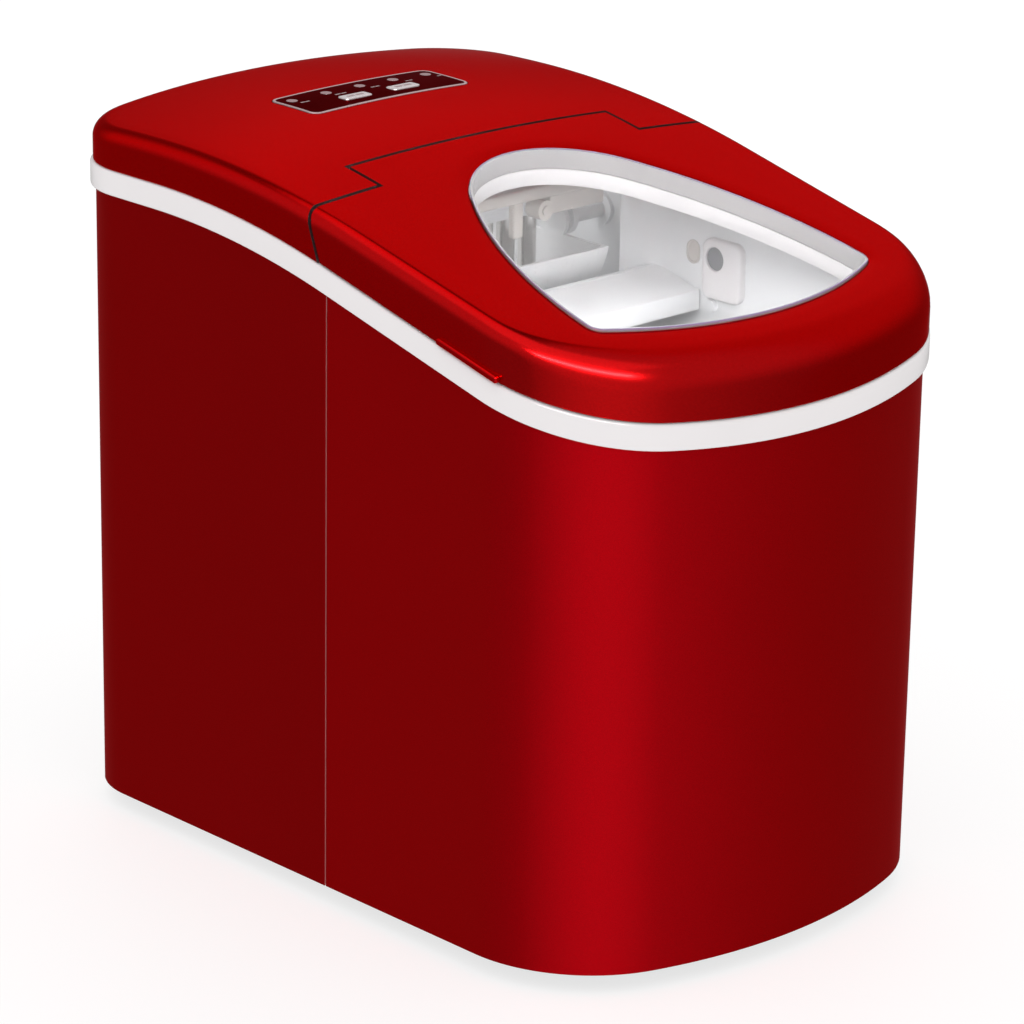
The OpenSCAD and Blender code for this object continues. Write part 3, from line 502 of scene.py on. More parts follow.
# Name, colour, roughness, size and depth of the grain, and how much the colour wanders
bare_edge = once(plastic, "cut edge of the sheet", (0.72, 0.3, 0.3), 0.4, 600, 0.00002, 0.06)
# Near-black cut edges: painted shade that darkens the gaps between the lid, the rear cover, the band and the
# case walls
painted_shade_edge = once(plastic, "shaded cut edge", (0.02, 0.001, 0.0015), 0.6, 900, 0.00004, 0.2)
white_gloss = once(plastic, "white gloss plastic", (0.83, 0.8, 0.805), 0.2, 500, 0.00001, 0.012, coat=0.2)
white_matte = once(plastic, "white satin plastic", (0.86, 0.865, 0.875), 0.36, 700, 0.00002, 0.012)
ivory_plastic = once(plastic, "ivory plastic", (0.58, 0.5, 0.47), 0.42, 700, 0.00003, 0.03)
dark_plastic = once(plastic, "dark grained plastic", (0.035, 0.035, 0.038), 0.5, 1500, 0.00012, 0.12)
rubber = once(plastic, "black rubber", (0.022, 0.022, 0.022), 0.72, 1100, 0.0001, 0.15)
silicone = once(
    plastic, "milky silicone", (0.62, 0.62, 0.6), 0.45, 300, 0.00005, 0.04, Subsurface_Weight=0.15,
    Subsurface_Radius=(0.004, 0.004, 0.004))
black_paint = once(plastic, "satin black enamel", (0.018, 0.018, 0.02), 0.32, 260, 0.00006, 0.1, coat=0.3)
lens = once(plastic, "smoky lens", (0.16, 0.16, 0.175), 0.12, 400, 0.00001, 0.04, coat=0.6)
frosted = once(plastic, "frosted plastic", (0.8, 0.8, 0.805), 0.3, 600, 0.00003, 0.03, coat=0.3)
smoky_frost = once(
    plastic, "smoky translucent plastic", (0.6, 0.555, 0.52), 0.2, 500, 0.00002, 0.04, coat=0.4)
collar_grey = once(
    plastic, "grey translucent collar", (0.41, 0.39, 0.39), 0.25, 500, 0.00001, 0.03, coat=0.3)
# Opaque bluish colour on the clear pane's side faces: a painted reflection that stands in for the light seen
# in its edge
window_edge_reflection = once(
    plastic, "bluish edge of the window", (0.36, 0.34, 0.55), 0.16, 500, 0.00001, 0.04, coat=0.5)
print_grey = once(plastic, "grey print", (0.34, 0.24, 0.25), 0.45, 800, 0.00001, 0.05)
lamp_lens = once(plastic, "diffusing lamp lens", (0.3, 0.17, 0.18), 0.4, 600, 0.00002, 0.05, coat=0.1)


def metal(name, colour, rough, stretch, grain, vary):
    mat, tree, shader = new_material(name, Metallic=1.0)
    brush = noise(tree, grain, 3.0, 0.6, stretch)
    wire(shader, Base_Color=vary_colour(tree, brush, colour, 1 - vary, 1 + vary),
         Roughness=spread(tree, brush, rough * 0.8, rough * 1.2))
    bump(tree, shader, brush, 0.3, 0.00004)
    return mat


# Name, colour, roughness, stretch and size of the brushing, and how much the colour wanders
steel = once(metal, "zinc plated steel", (0.58, 0.59, 0.61), 0.3, (1, 1, 1), 700, 0.1)
aluminium = once(metal, "mill finish aluminium", (0.76, 0.77, 0.78), 0.34, (1, 1, 12), 300, 0.1)
plated = once(metal, "nickel plated copper", (0.7, 0.68, 0.66), 0.18, (1, 1, 1), 500, 0.05)
panel_silver = once(metal, "silver print", (0.66, 0.47, 0.48), 0.3, (6, 1, 1), 500, 0.05)
button_silver = once(metal, "silver button lacquer", (0.86, 0.78, 0.79), 0.3, (6, 1, 1), 500, 0.05)


@once
def clear_window():
    mat, tree, shader = new_material(
        "clear moulded window", Base_Color=(0.99, 0.99, 0.995, 1), Transmission_Weight=1.0, IOR=1.4)
    flow = noise(tree, 30, 2.0, stretch=(1, 0.4, 1))
    wire(shader, Roughness=spread(tree, flow, 0.012, 0.03))
    bump(tree, shader, flow, 0.05, 0.0002)
    return mat


@once
def foam():
    mat, tree, shader = new_material("bead foam", Roughness=0.85)
    beads = node(tree, "ShaderNodeTexVoronoi", {"Vector": place(tree), "Scale": 260.0}).outputs["Distance"]
    wire(shader, Base_Color=ramp_colour(tree, beads, (0.86, 0.85, 0.8), (0.6, 0.58, 0.53), 0.2, 0.9))
    bump(tree, shader, beads, 0.6, 0.0008)
    return mat


@once
def galvanised():
    mat, tree, shader = new_material("galvanised sheet", Metallic=1.0)
    cells = node(tree, "ShaderNodeTexVoronoi", {"Vector": place(tree), "Scale": 140.0, "Randomness": 1.0})
    fac = node(tree, "ShaderNodeSeparateColor", {"Color": cells.outputs["Color"]}).outputs["Red"]
    wire(shader, Base_Color=ramp_colour(tree, fac, (0.46, 0.47, 0.49), (0.66, 0.67, 0.69), 0, 1),
         Roughness=spread(tree, fac, 0.3, 0.48, 0, 1))
    return mat


@once
def copper():
    mat, tree, shader = new_material("drawn copper", Metallic=1.0)
    stain = noise(tree, 60, 4.0, 0.6)
    wire(shader, Base_Color=ramp_colour(tree, stain, (0.5, 0.2, 0.1), (0.78, 0.4, 0.25)),
         Roughness=spread(tree, stain, 0.42, 0.24))
    return mat


@once
def board_green():
    mat, tree, shader = new_material("green solder mask", Coat_Weight=0.4)
    tracks = node(tree, "ShaderNodeTexBrick", {
        "Vector": place(tree), "Scale": 90.0, "Color1": (0.015, 0.14, 0.05, 1),
        "Color2": (0.02, 0.17, 0.06, 1), "Mortar": (0.05, 0.28, 0.1, 1), "Mortar Size": 0.03})
    wire(shader, Base_Color=tracks.outputs["Color"], Roughness=spread(tree, noise(tree, 400), 0.28, 0.42))
    return mat


@once
def sleeve():
    mat, tree, shader = new_material("braided sleeve", Roughness=0.7)
    threads = [node(tree, "ShaderNodeTexWave", {"Vector": place(tree, turn=turn), "Scale": 420.0})
               for turn in ((0.6, 0.5, 0.8), (-0.6, -0.5, 0.8))]
    both = maths(tree, "MULTIPLY", *(t.outputs["Fac"] for t in threads))
    wire(shader, Base_Color=ramp_colour(tree, both, (0.012, 0.012, 0.012), (0.06, 0.06, 0.062), 0, 1))
    bump(tree, shader, both, 0.4, 0.0002)
    return mat


@once
def panel_film():
    mat, tree, shader = new_material(
        "dark printed film", Metallic=1.0, Specular_Tint=(0.45, 0.2, 0.22, 1))
    cloud = noise(tree, 60, 2.0)
    wire(shader, Base_Color=ramp_colour(tree, cloud, (0.075, 0.008, 0.011), (0.1, 0.011, 0.015)),
         Roughness=spread(tree, noise(tree, 900), 0.3, 0.38))
    return mat


# The finish of each CAD node that is shown as it is
CARRIED = {
    dark_plastic: (
        "base_pan", "water_pump", "compressor_cap", "fan_shroud", "fan_blades", "button_switches"),
    rubber: (
        "foot_front_left", "foot_front_right", "foot_rear_left", "foot_rear_right", "compressor_grommets"),
    steel: ("foot_screws", "hinge_pins"),
    galvanised: ("bulkhead", "tray_motor", "fan_motor", "gas_valve"),
    white_matte: ("ice_chute", "evaporator_bracket", "evaporator_cover", "tray_bushes", "fill_spout"),
    aluminium: ("evaporator", "condenser_fins"),
    copper: (
        "condenser_tube", "drier_filter", "discharge_tube", "suction_tube", "hot_gas_tube", "liquid_tube",
        "capillary_tube"),
    frosted: ("water_tray", "ice_shovel"),
    silicone: ("pump_hose", "drain_seal"),
    foam: ("tub_insulation",),
    black_paint: ("compressor",),
    board_green: ("control_board",),
    sleeve: ("wiring",),
    plated: ("evaporator_fingers",),
}


# ---------------------------------------------------------------- shapes of the case

def seam_y(z):
    """Where the slanting seam between the lid and the rear cover lies at a height."""
    return -9.1 + (z - 279) * 22.5 / 61


def dome_levels(skirt, rise):
    """Rings of the top's outer surface, from the foot of its skirt inwards past its rounded edge."""
    base = cover_ring(0)
    inward = [(b[0] - a[0], b[1] - a[1]) for a, b in zip(base, cover_ring(1))]

    def ring(t_of, drop_of):
        points = []
        for (x, y), (nx, ny) in zip(base, inward):
            r = edge_r(y)
            px, py = x + nx * t_of(r), y + ny * t_of(r)
            points.append((px, py, top_z(px, py) - drop_of(r)))
        return points

    low = at(base, lambda x, y: skirt(y))
    bevel = [(x + nx * 0.5, y + ny * 0.5, skirt(y)) for (x, y), (nx, ny) in zip(base, inward)]
    second = [(x, y, z + 0.5) for x, y, z in low]
    top = ring(lambda r: 0, lambda r: r)
    middle = [(a[0], a[1], (a[2] + b[2]) / 2) for a, b in zip(low, top)]
    levels = [bevel, second, middle]
    for i in range(rise + 1):
        a = math.radians(90 * i / rise)
        levels.append(ring(lambda r: r * (1 - math.cos(a)), lambda r: r * (1 - math.sin(a))))
    levels.append(ring(lambda r: (r + 18) / 2, lambda r: 0))
    levels.append(ring(lambda r: 18, lambda r: 0))
    return levels


def between(outer, inner, steps, drop=0.0):
    """Rings on the top surface that lead from one outline to another, both ends left out."""
    rings = []
    for k in range(1, steps):
        s = k / steps
        flat = [(a[0] + (b[0] - a[0]) * s, a[1] + (b[1] - a[1]) * s) for a, b in zip(outer, inner)]
        rings.append(at(flat, lambda x, y: top_z(x, y) - drop))
    return rings


def centre(face):
    return face.calc_center_median()


def slice_faces(bm, faces, co, no):
    """Cuts only the given faces with a plane, and keeps both sides."""
    geom = list({v for f in faces for v in f.verts}) + list({e for f in faces for e in f.edges}) + faces
    bmesh.ops.bisect_plane(bm, geom=geom, dist=1e-5, plane_co=co, plane_no=no)


def slice_near_seam(bm, co, no):
    slice_faces(bm, [f for f in bm.faces if -14 < centre(f).y < 45], co, no)


def keep_faces(bm, test):
    gone = [f for f in bm.faces if not test(centre(f))]
    bmesh.ops.delete(bm, geom=gone, context="FACES")


def split_at_seam(bm, gap, side, back, test):
    slant = Vector((0, 61, -22.5)).normalized()
    slice_near_seam(bm, (0, seam_y(279) + gap, 279), slant)
    for x in (-side, side):
        slice_near_seam(bm, (x, 0, 0), (1, 0, 0))
    slice_near_seam(bm, (0, back, 0), (0, 1, 0))
    keep_faces(bm, test)
    bmesh.ops.remove_doubles(bm, verts=bm.verts[:], dist=0.02)
    bmesh.ops.dissolve_degenerate(bm, edges=bm.edges[:], dist=0.02)


def face_up(bm):
    """Turns an open dome so that its faces point outwards."""
    bmesh.ops.recalc_face_normals(bm, faces=bm.faces[:])
    top = max(bm.faces, key=lambda f: centre(f).z)
    turn_out(bm, top, Vector((0, 0, 1)))


def face_out(bm, low=0.0, high=400.0):
    """Turns an open wall so that its faces point away from the middle, judged between two heights."""
    bmesh.ops.recalc_face_normals(bm, faces=bm.faces[:])
    side = max(bm.faces, key=lambda f: abs(centre(f).x) if low < centre(f).z < high else 0)
    turn_out(bm, side, Vector((centre(side).x, 0, 0)))


def make_lid(sizes):
    dip = sizes.window_dip / MM
    bm = bmesh.new()
    levels = dome_levels(lambda y: band_top(y) + 0.6, 10)
    outer = [(p[0], p[1]) for p in levels[-1]]
    levels += between(outer, window_ring(-9), 12)
    for s in (9, 7, 5.2, 3.8, 2.6, 1.6, 0.9, 0.4):
        sink = dip * (1 - s / 9) ** 2
        levels.append(at(window_ring(-s), lambda x, y: top_z(x, y) - sink))
    levels.append(at(window_ring(-0.25), lambda x, y: top_z(x, y) - dip - 0.5))
    stack(bm, levels)
    side, back, gap = 76.5, 24.9, -0.35
    split_at_seam(
        bm, gap, side, back, lambda c: c.y < seam_y(c.z) + gap or (abs(c.x) < side and c.y < back))
    face_up(bm)
    # Its near-black rim paints shade into the seam gap, under the skirt and round the window opening
    piece(
        "lid_cover", bm, "lid", cover_lacquer(), ("lid_shell",), wall=2.0, rim=0.42,
        rim_steps=3, edge=painted_shade_edge())


def make_rear_cover():
    bm = bmesh.new()
    levels = dome_levels(lambda y: band_top(y) + 0.1, 10)
    outer = [(p[0], p[1]) for p in levels[-1]]
    recess = box_ring(0, PANEL_Y, 94.7, 32.7, 5.3)
    levels += between(outer, recess, 26)
    levels.append(at(recess, top_z))
    levels.append(at(recess, lambda x, y: top_z(x, y) - 0.9))
    small = box_ring(0, PANEL_Y, 60, 12, 3)
    levels.append(at(small, lambda x, y: top_z(x, y) - 0.9))
    cap(bm, stack(bm, levels)[1])
    side, back, gap = 78.3, 26.7, 1.5
    split_at_seam(
        bm, gap, side, back, lambda c: c.y > seam_y(c.z) + gap and not (abs(c.x) < side and c.y < back))
    face_up(bm)
    # Its near-black rim paints shade into the seam gap and under the skirt
    piece(
        "rear_cover_skin", bm, "case", cover_lacquer(), ("rear_cover",), wall=2.0, rim=0.42,
        rim_steps=3, edge=painted_shade_edge())


def make_hinge_ears():
    """A pair of ears on the lid and a pair on the rear cover, bored for the hinge pins."""
    ear = arc(*HINGE, 4, 150, 390, 30) + [(13.6, 313.6), (8.4, 313.6)]
    for name, body, start, end, bore in (
            ("lid_hinge_ears", "lid", 70.5, 76.0, 1.56), ("cover_hinge_ears", "case", 78.4, 84.0, 1.52)):
        hole = arc(*HINGE, bore, 150, 390, 30) + arc(*HINGE, bore, 60, 120, 2)
        bm = bmesh.new()
        for side in (-1, 1):
            rows = ((ear, start), (ear, end), (hole, end), (hole, start))
            stack(bm, [[(side * x, y, z) for y, z in ring] for ring, x in rows], closed=True)
        tidy(bm)
        piece(name, bm, body, cover_lacquer(), sharp=40)
    bm = bmesh.new()
    for x in (-100, 98.4):
        blocks(bm, (x, 28.8, 297.2), (x + 1.6, 30.4, 313))
    blocks(bm, (-100, 28.8, 297.2), (100, 30.4, 314.4))
    piece("cover_inner_wall", bm, "case", cover_lacquer())


def make_finger_lips():
    """The two lips that a hand lifts the lid by."""
    bm = bmesh.new()
    tilt = math.atan(0.25)
    for side in (-1, 1):
        verts = blocks(bm, (0, 0, 0), (3.0, 37, 3))
        bmesh.ops.rotate(bm, verts=verts, cent=(0, 0, 0), matrix=Matrix.Rotation(tilt, 3, "X"))
        bmesh.ops.translate(bm, vec=(119.1, -114, band_top(-114) + 0.9), verts=verts)
        bmesh.ops.scale(bm, vec=(side, 1, 1), verts=verts)
    tidy(bm)
    soften(bm, bm.verts[:], 1.1, 5)
    piece("finger_lips", bm, "lid", cover_lacquer())


def make_band():
    bm = bmesh.new()
    profile = [
        (5.6, 0, -8), (3.7, 0, -8), (3.7, 0, -0.02), (1.1, 0, 0), (0.5, 0, 0.15), (0.15, 0, 0.5), (0, 0, 1.1),
        (0, 0.5, 0), (0, 1, -1.5), (0.2, 1, -0.75), (0.75, 1, -0.2), (1.5, 1, 0), (5.6, 1, 0),
    ]
    stack(bm, [at(case_ring(t), lambda x, y: band_low(y) + BAND_H * share + rise)
               for t, share, rise in profile], closed=True)
    tidy(bm)
    piece("white_band", bm, "case", white_gloss(), ("trim_band",))


def make_front_wrap():
    plan = case_ring(WRAP_INSET)
    shares = [i / 12 for i in range(13)]
    bm = bmesh.new()
    stack(bm, [at(plan, lambda x, y: 8 + (band_low(y) - 0.06 - 8) * h) for h in shares])
    cut(bm, (0, SEAM_Y - 0.3, 0), (0, 1, 0), outer=True)
    face_out(bm)
    # Its near-black rim paints shade along its cut edges, at the seam, the foot and under the band
    piece(
        "front_case_wall", bm, "case", wall_lacquer(), ("front_wrap",), wall=1.2, rim=0.35,
        edge=painted_shade_edge())


def rear_plan(stops_y, stops_x):
    """Plan of the rear wall from the right seam to the left one, through the ends of its vent slots."""
    w, back = HALF_W - WRAP_INSET, HALF_D - WRAP_INSET
    rr, rb = (r - WRAP_INSET for r in CASE_ROUNDS[2:])
    rc = back - bow_drop(w, rr, rb)
    ra = math.asin((w - rr) / (rb - rr))
    turn_y = rc + rr * math.cos(ra)
    turn_x = w - rr + rr * math.sin(ra)

    def side_x(y):
        return w if y < rc else w - rr + math.sqrt(max(0.0, rr * rr - (y - rc) ** 2))

    ys = [-12 + i * (rc + 12) / 12 for i in range(12)]
    ys += [rc + rr * math.sin(math.radians(a)) for a in range(0, 85, 6)]
    ys = sorted(v for v in ys if v < turn_y and all(abs(v - s) > 0.8 for s in stops_y))
    right = [(side_x(y), y) for y in sorted(ys + list(stops_y))]
    xs = [turn_x * i / 14 for i in range(1, 14)] + [turn_x * 0.999]
    xs = sorted(v for v in xs if all(abs(v - s) > 0.8 for s in stops_x if s > 0))
    xs = sorted(xs + [s for s in stops_x if s > 0])
    rear = [(x, back - rb + math.sqrt(rb * rb - x * x)) for x in reversed(xs)]
    half = right + rear
    return half + [(0, back)] + [(-x, y) for x, y in reversed(half)]


def slot_stops(start, end):
    """Places along a slot where its rounded ends narrow."""
    return [start, start + 0.35, start + 1.1, start + 2.2, end - 2.2, end - 1.1, end - 0.35, end]


def make_rear_wrap():
    """The rear wall, with rows of rounded vent slots on its sides and its back."""
    side = [(58, 102), (110, 154)]
    tail = [(-71, -29), (-21, 21), (29, 71)]
    stops_y = [s for a, b in side for s in slot_stops(a, b)]
    stops_x = [s for a, b in tail for s in slot_stops(a, b)]
    plan = rear_plan(stops_y, [s for s in stops_x if s > 0])
    plan = plan + [(-118, -40), (118, -40)]
    side_rows = [30 + 9 * i for i in range(12)]
    tail_rows = [90 + 9 * i for i in range(10)]
    heights = sorted({8, 14, 22} | {z + d for z in side_rows + tail_rows for d in (0, 4)} | {185, 200, 220})
    bm = bmesh.new()
    rings = [loop(bm, at(plan, heights[0]))]
    for z in heights[1:]:
        rings.append(grow(bm, rings[-1], at(plan, z)))
    for h in (0.35, 0.7, 1.0):
        rings.append(grow(bm, rings[-1], at(plan, lambda x, y: 220 + (band_low(y) - 0.06 - 220) * h)))
    pinch = [0.25, 1.1, 1.7, 2.0, 2.0, 1.7, 1.1, 0.25]
    gone = []
    for spans, rows, axis in ((side, side_rows, 1), (tail, tail_rows, 0)):
        for a, b in spans:
            columns = []
            for i, p in enumerate(plan[:-2]):
                on_part = (p[0] > 100 and p[1] > 0) if axis == 1 else p[1] > 165
                if on_part and a - 0.01 <= p[axis] <= b + 0.01:
                    columns.append(i)
            for z in rows:
                low, high = heights.index(z), heights.index(z + 4)
                for i in columns:
                    spot = plan[i][axis]
                    half = 2.0
                    for stop, h in zip(slot_stops(a, b), pinch):
                        if abs(spot - stop) < 0.01:
                            half = h
                    rings[low][i].co.z = z + 2 - half
                    rings[high][i].co.z = z + 2 + half
                for k in range(low, high):
                    for i, j in zip(columns, columns[1:]):
                        if k > low:
                            for c in (i, j):
                                t = (heights[k] - z) / 4
                                rings[k][c].co.z = rings[low][c].co.z * (1 - t) + rings[high][c].co.z * t
                        corner = {rings[k][i], rings[k][j], rings[k + 1][i], rings[k + 1][j]}
                        gone += [f for f in rings[k][i].link_faces if set(f.verts) == corner]
    bmesh.ops.delete(bm, geom=list(set(gone)), context="FACES")
    cut(bm, (0, SEAM_Y + 0.4, 0), (0, 1, 0), inner=True)
    face_out(bm)
    # The rear wall takes the darker copy of the case lacquer, which is painted shade
    piece(
        "rear_case_wall", bm, "case", rear_wall_shaded_lacquer(), ("rear_wrap",), wall=1.2,
        rim=0.25, edge=bare_edge())


# ---------------------------------------------------------------- window, liner and controls

def plate(outline_of, profile):
    """Rings on the top surface, from rows of (inset of an outline, height above the surface)."""
    return [at(outline_of(t), lambda x, y: top_z(x, y) + h) for t, h in profile]


def shrunk(points, share):
    ys = [p[1] for p in points]
    middle = (min(ys) + max(ys)) / 2
    return [(x * share, middle + (y - middle) * share) for x, y in points]


def lens_plate(bm, outline_of, profile, inner):
    """Closed plate on the top surface. The profile leads from the underside's edge to the top's."""
    (low_inset, low_h), (high_inset, high_h) = profile[0], profile[-1]
    low, high = outline_of(low_inset), outline_of(high_inset)
    # The last two rings keep the bend of the rim out of the flat faces
    shares = [k / inner for k in range(1, inner)] + [0.975, 0.994]
    lower = [at(shrunk(low, s), lambda x, y: top_z(x, y) + low_h) for s in shares]
    upper = [at(shrunk(high, s), lambda x, y: top_z(x, y) + high_h) for s in reversed(shares)]
    for ring in stack(bm, lower + plate(outline_of, profile) + upper):
        cap(bm, ring)
    bmesh.ops.recalc_face_normals(bm, faces=bm.faces[:])


def make_window():
    rim = 0.25
    turns = [math.radians(a) for a in (0, 20, 45, 70, 90)]
    rounding = [(rim - rim * math.cos(a) + 0.02, rim * math.sin(a) - rim) for a in turns]
    bm = bmesh.new()
    lens_plate(bm, window_ring, [(0.2, -0.8), (0.05, -0.75), (0.02, -0.6)] + rounding, 8)
    # The pane's side faces take the opaque bluish painted reflection
    for face in bm.faces:
        if abs(face.normal.z) < 0.93:
            face.material_index = 1
    pane = piece(
        "window", bm, "lid", [clear_window(), window_edge_reflection()], ("window_pane",), sharp=60)
    pane.visible_shadow = False
    bm = bmesh.new()
    profile = [(0.3, -0.95), (0.3, -8.9), (0.5, -9.2), (1.1, -9.2), (1.3, -8.9), (1.3, -0.95)]
    stack(bm, plate(window_ring, profile), closed=True)
    tidy(bm)
    piece("window_collar", bm, "lid", collar_grey(), ("window_pane",))


def make_liner():
    bm = bmesh.new()
    outer, inner = cover_ring(3.8), window_ring(-1.2)
    levels = [at(outer, lambda x, y: top_z(x, y) - 9.4)] + between(outer, inner, 10, 9.4)
    levels += [at(inner, lambda x, y: top_z(x, y) - 9.4), at(inner, lambda x, y: top_z(x, y) - 11.2)]
    levels += list(reversed(between(outer, inner, 10, 11.2))) + [at(outer, lambda x, y: top_z(x, y) - 11.2)]
    stack(bm, levels, closed=True)
    cut(bm, (0, -6.2, 0), (0, 1, 0), outer=True, fill=True)
    profile = [
        (-1.5, -9.7), (-1.5, -16.0), (-1.1, -16.8), (-0.2, -17.0), (0.6, -16.8), (1.0, -16.0), (1.0, -10.2),
        (0.8, -9.7), (0.3, -9.5), (-1.0, -9.5)]
    stack(bm, plate(window_ring, profile), closed=True)
    tidy(bm)
    piece("lid_liner_plate", bm, "lid", white_gloss(), ("lid_liner",))


def panel_ring(t):
    return box_ring(0, PANEL_Y, 94 - 2 * t, 32 - 2 * t, max(0.4, 5 - t))


def circle_ring(cx, cy, r):
    return box_ring(cx, cy, 2 * r, 2 * r, r - 0.0005)


def make_panel():
    bm = bmesh.new()
    profile = [(0.05, -0.8), (0.05, 0.12), (0.25, 0.3), (0.5, 0.36), (1.35, 0.36), (1.46, 0.3), (1.46, -0.8)]
    stack(bm, plate(panel_ring, profile), closed=True)
    tidy(bm)
    piece("panel_frame", bm, "case", panel_silver(), ("panel_bezel",))
    bm = bmesh.new()
    lens_plate(bm, panel_ring, [(1.47, -0.8), (1.47, 0.26), (1.55, 0.3), (2.0, 0.3)], 6)
    piece("panel_film", bm, "case", panel_film(), ("control_panel",))
    bm = bmesh.new()
    for x in (-40, -20, 0, 20, 40):
        z = top_z(x, LAMP_Y)
        profile = [(0.02, 0.2), (2.5, 0.2), (2.6, 0.3), (2.55, 0.4), (2.3, 0.46), (1.6, 0.48), (0.02, 0.5)]
        stack(bm, [at(arc(x, LAMP_Y, r, 0, 360, 32), z + h) for r, h in profile])
    tidy(bm)
    piece("panel_lamps", bm, "case", lamp_lens(), ("indicator_lights",))
    bm = bmesh.new()
    for x, w in ((-37, 5.0), (-16, 6.5), (4.5, 5.0), (25, 4.0), (43.5, 2.2)):
        for dx in (-0.27, 0.27):
            flat_mark(bm, x + dx * w, 99.2, w * 0.46, 1.0, top_z(x, 99.2) + 0.3)
    tidy(bm)
    piece("panel_marks", bm, "case", print_grey())


def flat_mark(bm, x, y, w, d, z):
    """A short bar of print that marks a place on the panel."""
    verts = blocks(bm, (x - w / 2, y - d / 2, z - 0.1), (x + w / 2, y + d / 2, z + 0.05))
    for v in verts:
        v.co.z += top_z(v.co.x, v.co.y) - top_z(x, y)


def make_buttons():
    """The two button caps, each on a stem that reaches for its switch."""
    rows = [
        (0.3, 323.5), (0.3, 325.2), (0.9, 325.3), (0.9, 327.1), (0.95, 327.3), (1.1, 327.45), (1.4, 327.53),
        (1.8, 327.55), (3.0, 327.55)]
    for name, body, x in (
            ("power_cap", "power_button", -BUTTON_X), ("select_cap", "select_button", BUTTON_X)):
        bm = bmesh.new()
        levels = [at(box_ring(x, BUTTON_Y, 17.6 - 2 * t, 8.6 - 2 * t, max(0.3, 2.4 - t)), z) for t, z in rows]
        for ring in stack(bm, levels):
            cap(bm, ring)
        rod(bm, (x, BUTTON_Y, 320.1), (x, BUTTON_Y, 323.6), 1.5, 24)
        tidy(bm)
        piece(name, bm, body, button_silver(), (body,), sharp=40)
        bm = bmesh.new()
        for dx, w in ((-2.6, 4.2), (2.6, 4.4)):
            blocks(bm, (x + dx - w / 2, 90.6, 327.5), (x + dx + w / 2, 92.4, 327.6))
        tidy(bm)
        piece(name + "_print", bm, body, print_grey())


# ---------------------------------------------------------------- tub, basket and what the window shows

def make_tub():
    """The insulated tub, its rim on the band and the bay behind it, as one white moulding."""
    bm = bmesh.new()
    rows = [(30, 42.4), (16, 42.4)] + foot_round(9, 2.4, 42.4, range(0, 91, 15))
    rows += [(2.4, z) for z in (100, 150, 200, 216)]
    levels = [at(tub_ring(t), z) for t, z in rows]
    for h in (0.5, 1.0):
        levels.append(at(tub_ring(2.4), lambda x, y: 216 + (band_top(y) - 3.2 - 216) * h))
    lip = [(1.9, -2.1), (1.2, -1.6), (0.2, -1.5)]
    levels += [at(tub_ring(t), lambda x, y: band_top(y) + h) for t, h in lip]
    rim = [(6.4, -1.5), (5.9, -2.0), (5.9, -3.4)]
    levels += [at(case_ring(t), lambda x, y: band_top(y) + h) for t, h in rim]
    levels.append(at(tub_ring(0), lambda x, y: band_top(y) - 3.5))
    levels += [at(tub_ring(0), z) for z in (216, 200, 60, 40)]
    for ring in stack(bm, levels):
        cap(bm, ring)
    for x in (-101, 101):
        cut(bm, (x, 0, 0), (1, 0, 0))
    cut(bm, (0, 31, 0), (0, 1, 0))
    keep_faces(bm, lambda c: not (c.z > 216 and c.y > 22 and abs(c.x) < 101) and not (c.y > 31))
    low, high = 214.0, 305.9
    blocks(bm, (-103.5, 24, low), (103.5, 96.4, low + 2.4))
    blocks(bm, (-103.5, 94, low + 2.3), (103.5, 96.4, high))
    for side in (-1, 1):
        a, b = sorted((side * 101.1, side * 103.5))
        blocks(bm, (a, 22, low + 2.3), (b, 94.1, 297))
        blocks(bm, (a, 32, 296.9), (b, 94.1, high))
    tidy(bm)
    piece("tub", bm, "case", white_matte(), ("inner_tub",), sharp=35)
    bm = bmesh.new()
    for side in (-1, 1):
        a, b = sorted((side * 88, side * 101.6))
        blocks(bm, (a, -112, 122.7), (b, -42, 127.7))
    soften(bm, bm.verts[:], 1.5, 4)
    tidy(bm)
    piece("tub_ledges", bm, "case", white_matte())


def split_sides(points, stops, reach):
    """Adds points to the straight sides of a ring where a slot begins or ends."""
    out = []
    for a, b in zip(points, points[1:] + points[:1]):
        out.append(a)
        if abs(a[0]) > reach and abs(b[0]) > reach:
            low, high = sorted((a[1], b[1]))
            inside = sorted((s for s in stops if low + 0.05 < s < high - 0.05), reverse=b[1] < a[1])
            out += [(a[0] + (b[0] - a[0]) * (s - a[1]) / (b[1] - a[1]), s) for s in inside]
    return out


